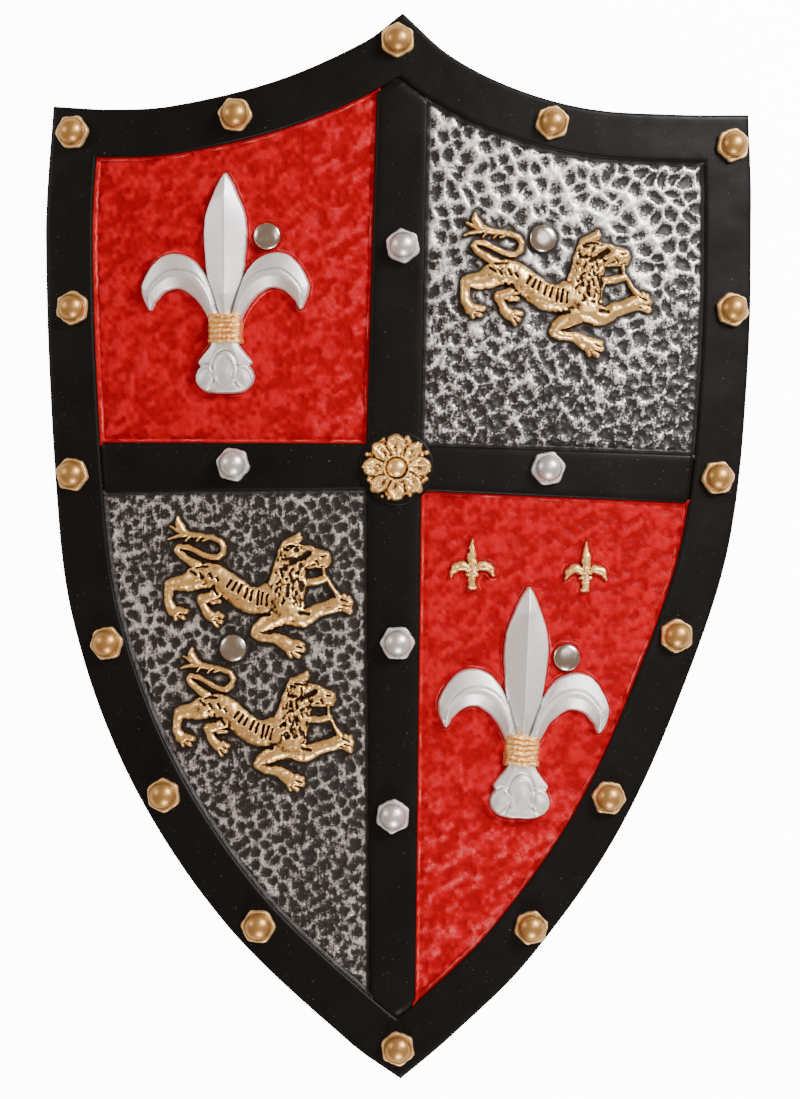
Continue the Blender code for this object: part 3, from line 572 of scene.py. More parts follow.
# Side, how far along it in percent, and how far in as a share of the border's width
BORDER_NUTS = (
    ("top", -0.1, 0.39), ("top", -22.7, 0.48), ("top", 21.4, 0.47), ("bottom", -0.1, 0.51),
    ("left", 39.3, 0.50), ("left", 22.6, 0.60), ("left", 6.8, 0.41),
    ("left", -9.2, 0.62), ("left", -23.5, 0.50), ("left", -35.7, 0.51),
    ("right", 38.1, 0.41), ("right", 22.5, 0.43), ("right", 6.5, 0.50),
    ("right", -8.5, 0.56), ("right", -23.7, 0.55), ("right", -35.8, 0.41),
)
# How far along a bar in percent, and how far across it as a share of its width
UPRIGHT_NUTS = ((28.1, 0.575), (-9.1, 0.58), (-25.3, 0.50))
CROSSBAR_NUTS = ((-23.0, 0.55), (20.8, 0.60))


def crossing(loop, axis, value, highest):
    """Where a closed loop crosses u = value (axis 0) or v = value (axis 1), at its high or low side."""
    found = []
    for a, b in zip(loop, np.roll(loop, -1, axis=0)):
        if (a[axis] - value) * (b[axis] - value) <= 0 and a[axis] != b[axis]:
            found.append(a + (b - a) * (value - a[axis]) / (b[axis] - a[axis]))
    return (max if highest else min)(found, key=lambda point: point[1 - axis])


def border_nut_places():
    """The middles of the sixteen nuts on the border, on the flat face."""
    places = []
    for side, along, share in BORDER_NUTS:
        line = np.vstack([run[:-1] for run in face_runs(share * BORDER_WIDTH)])
        across = side in ("top", "bottom")
        value = along / 100 * (SHIELD_WIDTH if across else SHIELD_HEIGHT)
        places.append(crossing(line, 0 if across else 1, value, side in ("top", "right")))
    return places


def bar_nut_places():
    """The middles of the five nuts on the bars, on the flat face."""
    places = []
    for along, share in UPRIGHT_NUTS:
        v = along * SHIELD_HEIGHT / 100
        left, right = upright_side(-1, v), upright_side(1, v)
        places.append((left + (right - left) * share, v))
    for along, share in CROSSBAR_NUTS:
        u = along * SHIELD_WIDTH / 100
        low, high = crossbar_side(-1, u), crossbar_side(1, u)
        places.append((u, low + (high - low) * share))
    return places


def nut_shape(name, seed):
    """One nut at the origin: a rounded, slightly uneven hexagon flange under a smooth dome."""
    angle = np.arange(NUT_SIDES) * 2 * math.pi / NUT_SIDES
    sides = angle[:, None] - np.arange(6) * math.pi / 3
    flat = NUT_ACROSS / 2 * math.cos(math.pi / 6)
    corners = (np.maximum(np.cos(sides), 0) ** CORNER_POWER).sum(axis=1)
    reach = flat * 1.02 / corners ** (1 / CORNER_POWER)
    reach = reach + 0.00022 * lattice_noise(4 * np.cos(angle), 4 * np.sin(angle), 1.0, seed)
    dome = DOME_DIAMETER / 2
    rings = [
        (reach, -0.0030, 0.0), (reach, 0.0004, 0.0), (reach - 0.00005, NUT_FLANGE - 0.0012, 0.0),
        (reach - 0.00020, NUT_FLANGE - 0.0005, 0.0), (reach - 0.00050, NUT_FLANGE - 0.00012, 0.0),
        (reach * 0.5 + dome * 0.5, NUT_FLANGE, 0.0), (dome + 0.00025 + 0 * angle, NUT_FLANGE - 0.0001, 0.3),
        (dome + 0.00005 + 0 * angle, NUT_FLANGE - 0.00035, 1.0),
    ]
    for step in range(DOME_STEPS):
        a = math.radians(4 + 86 * step / DOME_STEPS)
        rings.append((dome * math.cos(a) + 0 * angle, NUT_FLANGE + DOME_RISE * math.sin(a), 1.0))
    points, on_dome = [], []
    for radius, height, share in rings:
        ring = [radius * np.cos(angle), radius * np.sin(angle), height + 0 * angle]
        points += np.column_stack(ring).tolist()
        on_dome += [share] * NUT_SIDES
    faces = sheet_faces(len(rings), NUT_SIDES, wrap_columns=True).tolist()
    faces.append(list(range(NUT_SIDES)))
    top = len(points)
    points.append([0, 0, NUT_FLANGE + DOME_RISE])
    on_dome.append(1.0)
    last = (len(rings) - 1) * NUT_SIDES
    faces += [[last + k, last + (k + 1) % NUT_SIDES, top] for k in range(NUT_SIDES)]
    mesh = mesh_of(name, points, faces, dome=on_dome, level=[point[2] * 1000 for point in points])
    shape = bpy.data.objects.new(name, mesh)
    mesh.shade_smooth()
    return shape


def end_tree(tree, instances, finish):
    """The last nodes of a growth: plain meshes in place of instances, with their finish."""
    real = node(tree, "GeometryNodeRealizeInstances", {"Geometry": instances}).outputs["Geometry"]
    done = node(tree, "GeometryNodeSetMaterial", {"Geometry": real, "Material": finish})
    tree.links.new(done.outputs["Geometry"], tree.nodes.new("NodeGroupOutput").inputs["Geometry"])
    return tree


def nut_tree():
    """Geometry nodes that stand one of several shapes, turned and tilted, at every point of a mesh."""
    tree = bpy.data.node_groups.new("nuts_at_points", "GeometryNodeTree")
    open_socket(tree, "Geometry", "Geometry")
    open_socket(tree, "Shapes", "Collection")
    open_socket(tree, "Finish", "Material")
    open_socket(tree, "Geometry", "Geometry", way="OUTPUT")
    given = tree.nodes.new("NodeGroupInput").outputs
    shapes = node(tree, "GeometryNodeCollectionInfo", {"Collection": given["Shapes"]})
    shapes.inputs["Separate Children"].default_value = True
    turns = node(tree, "GeometryNodeInputNamedAttribute", {"Name": "turn"}, data_type="FLOAT_VECTOR")
    index = node(tree, "GeometryNodeInputIndex")
    stood = node(tree, "GeometryNodeInstanceOnPoints", {
        "Points": given["Geometry"], "Instance": shapes.outputs["Instances"],
        "Instance Index": index.outputs["Index"], "Rotation": turns.outputs["Attribute"],
    })
    stood.inputs["Pick Instance"].default_value = True
    return end_tree(tree, stood.outputs["Instances"], given["Finish"])


def grown(name, mesh, tree, settings, finish):
    """A plain piece made by running geometry nodes over a mesh, with their inputs set by name first."""
    base = bpy.data.objects.new(name + "_base", mesh)
    bpy.context.scene.collection.objects.link(base)
    growth = base.modifiers.new("growth", "NODES")
    growth.node_group = tree
    for item in tree.interface.items_tree:
        if item.in_out == "INPUT" and item.name in settings:
            growth[item.identifier] = settings[item.name]
    bpy.context.view_layer.update()
    plain = bpy.data.meshes.new_from_object(base.evaluated_get(bpy.context.evaluated_depsgraph_get()))
    base.modifiers.clear()
    bpy.data.objects.remove(base, do_unlink=True)
    return add_piece(name, plain, finish)


def seats_of(name, places, turns):
    """A mesh of lone points, each with the turn of what stands on it."""
    mesh = mesh_of(name + "_seats", places, [])
    kept = mesh.attributes.new("turn", "FLOAT_VECTOR", "POINT")
    for k, turn in enumerate(turns):
        kept.data[k].vector = turn
    return mesh


def nuts_piece(name, places, shapes, first_turn, finish):
    """The nuts of one colour as one piece, standing square on the curved front."""
    places = np.array(places)
    seats = bent(places[:, 0], places[:, 1], np.full(len(places), BORDER_THICKNESS))
    turns = []
    for k, (u, _) in enumerate(places):
        lean = Matrix.Rotation(math.asin(u / FACE_RADIUS), 4, "Y")
        spin = Matrix.Rotation(math.radians((NUT_TURN * (k + first_turn)) % 60), 4, "Z")
        turns.append((lean @ spin).to_euler())
    mesh = seats_of(name, seats, turns)
    return grown(name, mesh, nut_tree(), {"Shapes": shapes, "Finish": finish}, finish)


def nut_paint(name, dome_color, flange_color, rough):
    """Metallic paint over black: it stops unevenly near the flange's foot and has dark flecks."""
    made, tree, shader = new_material(name, 0.8)
    dome, level = mark_of(tree, "dome"), mark_of(tree, "level")
    uneven = math_node(tree, "MULTIPLY", noise(tree, 0.0022, 3.0), 2.2)
    stop = ramp(tree, math_node(tree, "SUBTRACT", level, uneven), -0.55, -0.25)
    flecks = ramp(tree, noise(tree, 0.0013, 3.0), 0.70, 0.76)
    cover = math_node(tree, "MULTIPLY", stop, math_node(tree, "SUBTRACT", 1.0, flecks))
    worn = blend(tree, noise(tree, 0.003, 4.0), tuple(c * 0.82 for c in flange_color), flange_color)
    paint = blend(tree, dome, worn, dome_color)
    tree.links.new(blend(tree, cover, (0.02, 0.016, 0.012), paint), shader.inputs["Base Color"])
    vary_gloss(tree, shader, dome, rough + 0.10, rough)
    bump(tree, shader, noise(tree, 0.0014, 3.0), 0.00004)
    return made


nut_shapes = bpy.data.collections.new("nut_shapes")
for k in range(NUT_SHAPES):
    nut_shapes.objects.link(nut_shape(f"nut_shape_{k}", 50 + k))
gold_nut_paint = nut_paint("gold_nut_paint", (0.52, 0.285, 0.09), (1.0, 0.66, 0.29), 0.38)
silver_nut_paint = nut_paint("silver_nut_paint", (0.74, 0.73, 0.72), (0.88, 0.87, 0.86), 0.36)
gold_nuts = nuts_piece("gold_nuts", border_nut_places(), nut_shapes, 0, gold_nut_paint)
silver_nuts = nuts_piece("silver_nuts", bar_nut_places(), nut_shapes, 16, silver_nut_paint)
for nuts, slot in ((gold_nuts, "gold_paint"), (silver_nuts, "silver_paint")):
    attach(nuts, "root")
    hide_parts("shield_body")

# The rosette on the crossing of the bars: a round boss in a ring, four broad cupped petals and four ragged
# leaves, cast with the shield on a low black disc and painted gold with the gaps left black.
ROSETTE_RADIUS = 0.01575
ROSETTE_RISE = 0.0050
ROSETTE_CELL = 0.00026
DISC_RADIUS = 0.0169
DISC_RISE = 0.0006
DISC_SIDES = 120
ROSETTE_SUNK = 0.0012
ROSETTE_ASIDE = (0.0012, -0.0005)
# How far the hidden foot of every relief reaches below its seat
FOOT_DEPTH = 0.0006
# Petals and leaves as middle, half length, half width and direction, in percent of the radius and degrees,
# then how deep they are cupped
PETALS = (
    (-2, 63, 36, 29, 92, 0.55), (63, 4, 36, 29, 4, 0.50), (-63, 3, 36, 28, 176, 0.50),
    (-2, -61, 34, 27, 268, 0.45), (-44, 45, 36, 23, 134, 0.35), (44, 44, 37, 21, 46, 0.80),
    (44, -43, 36, 24, 318, 0.40), (-44, -42, 36, 24, 218, 0.35),
)
KNOBS = (
    (-84, 39, 7), (-38, 82, 6), (30, 85, 9), (37, 76, 7), (67, 66, 7), (85, 44, 8), (60, 72, 5),
    (83, -31, 8), (75, -36, 6), (38, -77, 7), (-41, -81, 5), (-78, -33, 8), (-72, -42, 6), (-48, -62, 6),
    (12, -84, 6), (-22, -86, 6), (-92, 8, 5), (93, -8, 5), (48, -64, 8), (58, 62, 5), (-65, 62, 5),
)
RAYS = 19
BOSS_REACH = 30.5


def spread(values, radius):
    """Values on a grid softened over a radius in cells, by two passes of a running mean each way."""
    width = 2 * int(radius) + 1
    for axis in (0, 1, 0, 1):
        ends = [(int(radius) + 1, int(radius)) if a == axis else (0, 0) for a in (0, 1)]
        padded = np.pad(values, ends, "edge")
        total = np.cumsum(padded, axis=axis)
        upper = np.take(total, range(width, total.shape[axis]), axis=axis)
        lower = np.take(total, range(0, total.shape[axis] - width), axis=axis)
        values = (upper - lower) / width
    return values


def kept_cells(keep):
    """The kept cells of a grid as faces over the points they use, those points, and the steps of the rim."""
    rows, columns = keep.shape[0] + 1, keep.shape[1] + 1
    quads = sheet_faces(rows, columns)[keep.ravel()]
    used = np.unique(quads)
    number = np.full(rows * columns, -1)
    number[used] = np.arange(len(used))
    quads = number[quads]
    steps = set(zip(quads.ravel().tolist(), np.roll(quads, -1, axis=1).ravel().tolist()))
    return quads, used, sorted((a, b) for a, b in steps if (b, a) not in steps)


def solid_sheet(name, u, v, top, bottom, keep, finish, **marks):
    """A closed piece from a grid: the kept cells on top, the same cells below, and walls between."""
    quads, used, rim = kept_cells(keep)
    upper = bent(u.ravel()[used], v.ravel()[used], top.ravel()[used])
    lower = bent(u.ravel()[used], v.ravel()[used], np.full(len(used), bottom))
    shift = len(used)
    faces = quads.tolist() + (quads[:, ::-1] + shift).tolist()
    faces += [[b, a, a + shift, b + shift] for a, b in rim]
    marks = {mark: np.tile(values.ravel()[used], 2) for mark, values in marks.items()}
    return add_piece(name, mesh_of(name, np.vstack([upper, lower]), faces, **marks), finish)


def kept_inside(inside, reach):
    """The cells whose middle is further inside than a reach, without any that touch only at a corner."""
    keep = (inside[1:, 1:] + inside[:-1, :-1] + inside[1:, :-1] + inside[:-1, 1:]) / 4 > reach
    for _ in range(8):
        a, b, c, d = keep[:-1, :-1], keep[1:, :-1], keep[:-1, 1:], keep[1:, 1:]
        pinch_one, pinch_two = a & d & ~b & ~c, b & c & ~a & ~d
        if not (pinch_one.any() or pinch_two.any()):
            break
        keep[:-1, :-1] &= ~pinch_one
        keep[1:, :-1] &= ~pinch_two
    return keep


def rosette_relief(x, y):
    """Rise from 0 to 1 of the rosette at places in percent of its radius, and how far inside they are."""
    rise = np.zeros(x.shape)
    inside = np.full(x.shape, -50.0)
    radius, angle = np.hypot(x, y), np.arctan2(y, x)
    for cx, cy, length, width, degrees, cup in PETALS:
        a = math.radians(degrees)
        along = ((x - cx) * math.cos(a) + (y - cy) * math.sin(a)) / length
        across = (-(x - cx) * math.sin(a) + (y - cy) * math.cos(a)) / width
        narrow = 1 - 0.35 * np.clip(-along, 0, 1)
        ragged = 1 + 0.07 * lattice_noise(np.degrees(angle), radius, 9.0, 61 + degrees)
        reach = np.hypot(along, across / narrow) / ragged
        rim = np.exp(-((reach - 0.80) / 0.20) ** 2)
        vein = np.exp(-(across / 0.10) ** 2)
        bowl = 0.74 - cup * 0.40 * np.clip(1 - reach, 0, 1) + 0.12 * rim - 0.05 * vein
        rise = np.maximum(rise, np.where(reach < 1, bowl * np.sqrt(np.clip(1 - reach**4, 0, 1)), 0))
        inside = np.maximum(inside, (1 - reach) * width)
    for cx, cy, size in KNOBS:
        gap = np.hypot(x - cx, y - cy) / size
        rise = np.maximum(rise, 0.62 * np.sqrt(np.clip(1 - gap**2, 0, 1)))
        inside = np.maximum(inside, (1 - gap) * size)
    rays = 0.5 + 0.5 * np.cos(angle * RAYS + 1.6 * lattice_noise(x, y, 22.0, 66))
    rise -= 0.16 * rays * np.exp(-((radius - 56) / 20) ** 2)
    ragged = 86 + 9 * lattice_noise(x, y, 13.0, 70)
    heart = 0.50 * fade(62, 42, radius) + 0.34 * fade(ragged + 6, ragged - 8, radius) * fade(42, 62, radius)
    rise = np.maximum(rise, heart - 0.14 * rays * fade(30, 44, radius))
    inside = np.maximum(inside, ragged - radius)
    rise += 0.18 * np.exp(-((radius - 35) / 3.0) ** 2) - 0.20 * np.exp(-((radius - 31) / 1.4) ** 2)
    boss = 1.02 * np.sqrt(np.clip(1 - (radius / BOSS_REACH) ** 2, 0, 1)) ** 0.9
    rise = np.where(radius < BOSS_REACH, np.maximum(boss, 0.42), rise)
    rise += 0.035 * lattice_noise(x, y, 5.0, 67) * (radius > 33)
    return rise, inside


def brush_group():
    """A node group for paint dragged over relief: a level from the height, a fine grain and broad blots."""
    group = bpy.data.node_groups.new("dry_brush", "ShaderNodeTree")
    for name in ("High", "High Weight", "Grain", "Grain Weight", "Blots", "Blots Weight"):
        open_socket(group, name, "Float", 1.0)
    open_socket(group, "Level", "Float", way="OUTPUT")
    given = group.nodes.new("NodeGroupInput").outputs
    level = math_node(group, "MULTIPLY", given["High"], given["High Weight"])
    for name in ("Grain", "Blots"):
        centred = math_node(group, "SUBTRACT", given[name], 0.5)
        level = math_node(group, "ADD", level, math_node(group, "MULTIPLY", centred, given[name + " Weight"]))
    group.links.new(level, group.nodes.new("NodeGroupOutput").inputs["Level"])
    return group


dry_brush = brush_group()


def dry_brushed(tree, high, high_weight, grain, grain_weight, blots, blots_weight):
    """The shared dry brush group with one material's own values and weights."""
    made = tree.nodes.new("ShaderNodeGroup")
    made.node_tree = dry_brush
    for name, value in (("High", high), ("Grain", grain), ("Blots", blots)):
        tree.links.new(value, made.inputs[name])
    for name, value in (("High", high_weight), ("Grain", grain_weight), ("Blots", blots_weight)):
        made.inputs[name + " Weight"].default_value = value
    return made.outputs["Level"]


def gold_paint(name, rough, dark):
    """Gold over brown black: bright on the high places, partly as real dry-brushed paint and partly as
    painted highlight, and dark in the hollows and round the foot of the relief, partly as real dark paint
    washed in and partly as painted shade.
    """
    made, tree, shader = new_material(name, 0.85)
    high = mark_of(tree, "high")
    level = dry_brushed(tree, high, 1.0, noise(tree, 0.0012, 4.0), 1.7, noise(tree, 0.0060, 3.0), 0.7)
    # Dark where the level is low: real dark paint in the hollows, and painted shade round the foot, where the
    # mark falls to 0.
    cover = ramp(tree, level, dark, dark + 0.18)
    # Painted highlight: the crests are painted a brighter gold, partly as real dry-brushed paint.
    bright = ramp(tree, level, dark + 0.12, dark + 0.60)
    paint = blend(tree, bright, (0.34, 0.160, 0.040), (1.0, 0.63, 0.235))
    paint = blend(tree, cover, (0.022, 0.011, 0.005), paint)
    tree.links.new(paint, shader.inputs["Base Color"])
    vary_gloss(tree, shader, cover, 0.55, rough)
    bump(tree, shader, noise(tree, 0.0009, 3.0), 0.00009)
    return made


def rosette_piece(middle, finish):
    """The rosette as a closed relief round its middle."""
    reach = ROSETTE_RADIUS * 1.05
    line = np.arange(-reach, reach, ROSETTE_CELL)
    x, y = np.meshgrid(line, line, indexing="ij")
    rise, inside = rosette_relief(x / ROSETTE_RADIUS * 100, y / ROSETTE_RADIUS * 100)
    wall = fade(-1.2, 1.6, inside)
    seat = BORDER_THICKNESS + DISC_RISE - ROSETTE_SUNK
    top = seat + ROSETTE_SUNK * wall + (ROSETTE_RISE - DISC_RISE) * rise * wall
    # The mark for the gold paint falls to 0 round the outline, which paints shade round the rosette's foot.
    high = 0.52 + (top - spread(top, 3)) / 0.0008 + (top - spread(top, 9)) / 0.0030 + 0.3 * (rise - 0.55)
    high = np.clip(high, 0, 1) * wall
    keep = kept_inside(inside, -1.6)
    u, v = x + middle[0], y + middle[1]
    return solid_sheet("rosette", u, v, top, seat - FOOT_DEPTH, keep, finish, high=high)


def disc_piece(middle, finish):
    """The low disc under the rosette, with a softly rounded edge."""
    rings = [
        (1.0, -0.0020), (1.0, -0.0003), (1.0, 0.0002), (0.985, 0.00045), (0.955, DISC_RISE), (0.9, DISC_RISE),
        (0.6, DISC_RISE), (0.25, DISC_RISE),
    ]
    angle = np.arange(DISC_SIDES) * math.pi / (DISC_SIDES / 2)
    u = np.array([share * DISC_RADIUS * np.cos(angle) for share, _ in rings]) + middle[0]
    v = np.array([share * DISC_RADIUS * np.sin(angle) for share, _ in rings]) + middle[1]
    height = np.array([np.full(DISC_SIDES, BORDER_THICKNESS + rise) for _, rise in rings])
    faces = sheet_faces(len(rings), DISC_SIDES, wrap_columns=True).tolist()
    faces += [list(range(DISC_SIDES)), list(range((len(rings) - 1) * DISC_SIDES, len(rings) * DISC_SIDES))]
    return add_piece("rosette_disc", mesh_of("rosette_disc", bent(u, v, height), faces), finish)


cross_v = CROSSBAR_HEIGHT * SHIELD_HEIGHT / 100
cross_u = (upright_side(-1, cross_v) + upright_side(1, cross_v)) / 2
rosette_middle = (cross_u + ROSETTE_ASIDE[0], cross_v + ROSETTE_ASIDE[1])
rosette_gold = gold_paint("rosette_gold", 0.36, -0.10)
disc = disc_piece(rosette_middle, black)
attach(disc, "root")
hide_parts("shield_body")
rosette = rosette_piece(rosette_middle, rosette_gold)
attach(rosette, "root")
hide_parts("shield_body")

# The three lions, walking to the right: one low relief each, cast with the silver fields, all from the same
# pattern, painted gold and washed dark so that the colour stays in the ribs, the mane and round the toes,
# with painted shade round their feet and painted highlights on their crests.
LION_RISE = 0.0042
LION_CELL = 0.00039
LIMB_SPACING = 3.0
LION_SUNK = 0.0014
# Name, place from the crossing in percent of the width, length in percent of it, and turn in degrees
LIONS = (
    ("upper_right", (22.2, 25.6), 27.3, 0.0),
    ("lower_left_high", (-19.6, -16.8), 26.9, 0.0),
    ("lower_left_low", (-18.8, -35.5), 25.9, -4.0),
)
# Each limb is a run of (across, up, half width), in percent of the lion's length from its middle
LION_LIMBS = {
    "torso": (
        (-32.6, 5.4, 5.6), (-26.1, 6.5, 6.5), (-19.9, 3.7, 6.7), (-12.5, -1.6, 6.7), (-5.2, -6.3, 6.9),
        (2.1, -6.8, 7.7), (9.4, -6.3, 9.2), (15.7, -11.0, 8.4),
    ),
    "neck": ((13.6, -3.1, 10.2), (15.7, 4.2, 9.2), (16.3, 11.0, 8.2), (17.2, 16.2, 6.9), (18.0, 19.9, 4.8)),
    "head": ((17.2, 15.7, 5.9), (23.5, 16.3, 5.6), (28.7, 15.5, 5.0), (32.6, 14.6, 4.4), (34.1, 14.4, 4.0)),
    "ear": ((12.7, 18.6, 2.5), (14.6, 22.2, 2.7), (18.0, 23.8, 2.7), (20.7, 25.5, 2.3), (21.1, 27.4, 1.3)),
    "cheek": ((19.3, 10.4, 4.8), (20.4, 6.3, 4.0), (21.1, 2.9, 2.9)),
    "jaw": ((20.4, 2.5, 3.1), (25.6, 2.6, 2.1), (30.8, 3.2, 2.0), (35.1, 4.4, 1.8)),
    "tooth": ((34.0, 10.4, 0.8), (34.7, 5.4, 0.8)),
    "tongue": ((34.9, 5.2, 1.1), (37.1, 2.1, 1.0), (39.2, -1.3, 1.1), (41.6, -4.8, 1.9)),
    "raised_leg": (
        (15.7, -12.1, 6.8), (23.5, -15.9, 4.9), (29.8, -12.7, 3.8), (36.1, -10.6, 3.6), (41.8, -8.4, 4.0),
        (45.5, -8.6, 4.0),
    ),
    "raised_toe_1": ((42.3, -6.8, 1.8), (44.4, -4.6, 1.5)),
    "raised_toe_2": ((44.4, -6.8, 1.8), (46.8, -5.4, 1.5)),
    "raised_toe_3": ((45.5, -8.6, 2.0), (48.1, -8.4, 1.7)),
    "raised_toe_4": ((44.9, -11.0, 2.0), (47.6, -12.5, 1.7)),
    "upper_arm": ((12.0, -12.5, 7.0), (5.2, -18.0, 4.5), (0.5, -21.4, 3.6), (-1.3, -23.8, 2.9)),
    "forearm": (
        (-1.3, -24.2, 2.9), (2.1, -25.9, 2.6), (7.8, -26.3, 2.6), (13.1, -28.7, 3.6), (18.3, -31.9, 4.2),
    ),
    "low_toe_1": ((19.3, -29.3, 2.2), (22.2, -30.1, 2.0)),
    "low_toe_2": ((19.9, -31.9, 2.2), (23.0, -32.6, 1.7)),
    "low_toe_3": ((18.6, -34.0, 2.0), (20.7, -35.9, 1.5)),
    "low_toe_4": ((15.7, -32.9, 2.0), (16.9, -35.7, 1.4)),
    "near_thigh": ((-30.8, 5.7, 7.0), (-38.1, 2.3, 4.7), (-44.4, 1.6, 3.6), (-46.4, 1.0, 3.1)),
    "near_shin": (
        (-46.6, 1.0, 3.1), (-47.3, -4.7, 2.4), (-46.7, -9.2, 2.6), (-44.7, -12.7, 3.1), (-41.8, -13.1, 2.9),
    ),
    "near_toe_1": ((-40.2, -12.5, 2.0), (-38.0, -12.7, 1.5)),
    "near_toe_2": ((-41.3, -14.4, 1.8), (-39.5, -15.7, 1.4)),
    "near_toe_3": ((-43.9, -14.6, 1.8), (-43.1, -16.4, 1.4)),
    "far_thigh": ((-21.4, -2.1, 3.8), (-24.6, -4.9, 2.9), (-28.7, -6.1, 2.9)),
    "far_step": ((-24.0, -7.5, 1.5), (-20.4, -7.5, 1.3)),
    "far_shin": ((-29.7, -6.1, 2.9), (-28.6, -9.4, 2.3), (-27.0, -13.1, 2.5), (-23.5, -15.9, 2.9)),
    "far_toe_1": ((-21.4, -14.4, 1.8), (-18.8, -15.0, 1.5)),
    "far_toe_2": ((-21.4, -16.5, 1.7), (-19.6, -18.0, 1.4)),
    "far_toe_3": ((-23.0, -17.8, 1.7), (-21.7, -20.3, 1.1)),
    "tail": (
        (-31.9, 11.0, 2.9), (-36.1, 14.0, 2.1), (-40.5, 16.7, 1.8), (-42.7, 19.4, 1.6), (-41.6, 21.2, 1.5),
        (-37.6, 20.9, 1.5), (-31.9, 18.4, 1.5), (-26.1, 15.8, 1.6), (-21.4, 15.4, 1.7), (-18.8, 17.6, 1.6),
        (-18.1, 21.1, 1.6), (-19.9, 24.2, 1.5), (-24.0, 25.9, 1.5), (-30.1, 26.8, 1.5), (-36.1, 27.4, 1.8),
        (-39.9, 29.3, 2.2), (-42.0, 32.9, 2.1), (-42.1, 36.4, 0.8),
    ),
    "tuft": ((-39.5, 28.6, 1.7), (-43.4, 30.1, 1.1), (-46.4, 31.6, 0.5)),
    "tuft_low": ((-38.7, 27.4, 1.4), (-43.1, 26.5, 1.0), (-47.4, 25.1, 0.5)),
    "barb_1": ((-36.1, 26.6, 0.9), (-38.3, 23.8, 0.5)),
    "barb_2": ((-30.1, 26.1, 0.9), (-32.4, 23.8, 0.5)),
    "barb_3": ((-26.1, 25.6, 0.9), (-29.0, 24.0, 0.5)),
    "muzzle_block": ((29.5, 17.4, 3.0), (34.6, 16.2, 2.9)),
    "nose": ((32.4, 16.7, 2.1), (35.7, 16.5, 1.9)),
    "lip": ((25.1, 11.5, 2.1), (31.3, 11.9, 2.1), (35.3, 12.3, 2.1)),
    "brow": ((15.7, 18.6, 2.1), (21.9, 20.5, 1.8), (27.7, 19.9, 1.5), (31.3, 18.0, 1.4)),
}
# The grooves of ribs, mane, eye, mouth and toes: from, to, half width and depth, in the same percent
LION_GROOVES = (
    (-15.8, 0.2, -13.9, 3.8, 0.5, 0.62), (-13.2, -1.5, -11.4, 2.3, 0.5, 0.66),
    (-10.2, -2.7, -8.8, 1.0, 0.5, 0.66), (-6.8, -5.2, -5.3, -0.6, 0.5, 0.70),
    (-3.8, -6.5, -2.6, -1.7, 0.5, 0.66), (-0.4, -8.8, 0.4, -2.1, 0.5, 0.70),
    (1.7, -8.6, 2.8, -2.7, 0.5, 0.66), (4.4, -9.4, 5.2, -4.0, 0.5, 0.45),
    (-15.9, -6.8, -11.5, -10.7, 0.7, 0.55), (-11.5, -10.7, -5.2, -13.6, 0.7, 0.60),
    (-5.2, -13.6, 1.0, -14.3, 0.7, 0.60), (1.0, -14.3, 5.9, -14.3, 0.6, 0.50),
    (17.3, 12.7, 21.9, 15.0, 1.3, 0.80), (21.9, 15.0, 26.1, 17.6, 1.5, 0.92),
    (14.6, 15.0, 17.3, 14.2, 0.7, 0.60), (12.3, 14.6, 15.7, 14.0, 0.7, 0.60),
    (13.2, 20.1, 15.7, 19.6, 0.6, 0.60), (15.0, 21.3, 22.4, 21.3, 0.6, 0.50),
    (11.0, 18.6, 12.3, 14.6, 0.5, 0.50), (15.3, -4.6, 15.9, 1.3, 0.8, 0.80),
    (18.4, -0.6, 17.6, 2.9, 0.7, 0.70), (10.4, 1.7, 11.9, 4.2, 0.5, 0.50),
    (20.1, 7.1, 21.9, 9.4, 0.6, 0.50), (16.9, 7.1, 18.0, 9.4, 0.6, 0.50),
    (13.6, 9.2, 14.6, 11.3, 0.6, 0.60), (12.3, 5.0, 14.0, 6.7, 0.5, 0.50),
    (9.4, -2.1, 10.7, 0.0, 0.5, 0.50), (18.8, -6.3, 20.1, -3.8, 0.6, 0.50),
    (12.7, -8.4, 14.6, -6.8, 0.5, 0.40), (22.2, -13.2, 26.3, -13.8, 0.7, 0.50),
    (21.1, -4.8, 22.2, -9.4, 0.8, 0.50), (23.0, 0.8, 23.6, -2.1, 0.6, 0.50),
    (5.9, -23.4, 15.7, -21.7, 0.8, 0.65), (15.7, -21.7, 21.1, -20.9, 0.7, 0.50),
    (-23.8, -0.4, -21.3, -3.6, 0.8, 0.60), (-27.0, -1.7, -23.0, -0.6, 0.6, 0.50),
    (-42.8, -2.3, -27.2, -1.7, 0.6, 0.40), (33.2, 16.1, 35.3, 16.3, 0.4, 0.60),
    (32.6, 10.9, 37.0, 11.3, 0.4, 0.50), (30.1, 14.0, 31.3, 11.5, 0.5, 0.50),
    (26.1, 10.9, 29.5, 11.9, 0.5, 0.50), (42.8, -6.1, 46.4, -7.5, 0.4, 0.55),
    (44.4, -9.4, 48.1, -10.4, 0.4, 0.55), (42.3, -11.0, 46.0, -11.9, 0.4, 0.40),
    (19.9, -30.8, 22.8, -31.6, 0.4, 0.55), (19.3, -33.6, 22.4, -34.7, 0.4, 0.55),
    (16.9, -34.1, 18.3, -36.4, 0.4, 0.55), (-41.3, -14.0, -38.7, -14.2, 0.4, 0.55),
    (-42.6, -15.3, -41.6, -16.9, 0.4, 0.55), (-21.4, -15.9, -18.8, -16.7, 0.4, 0.55),
    (-22.7, -17.3, -21.1, -19.5, 0.4, 0.55), (-31.9, 10.2, -26.1, 10.9, 0.6, 0.45),
    (-35.3, 8.4, -32.2, 6.5, 0.6, 0.40), (-30.1, 7.1, -28.6, 5.0, 0.7, 0.40),
    (-25.1, 7.1, -23.8, 5.0, 0.6, 0.45), (-21.4, 5.0, -20.7, 3.8, 0.6, 0.40),
)


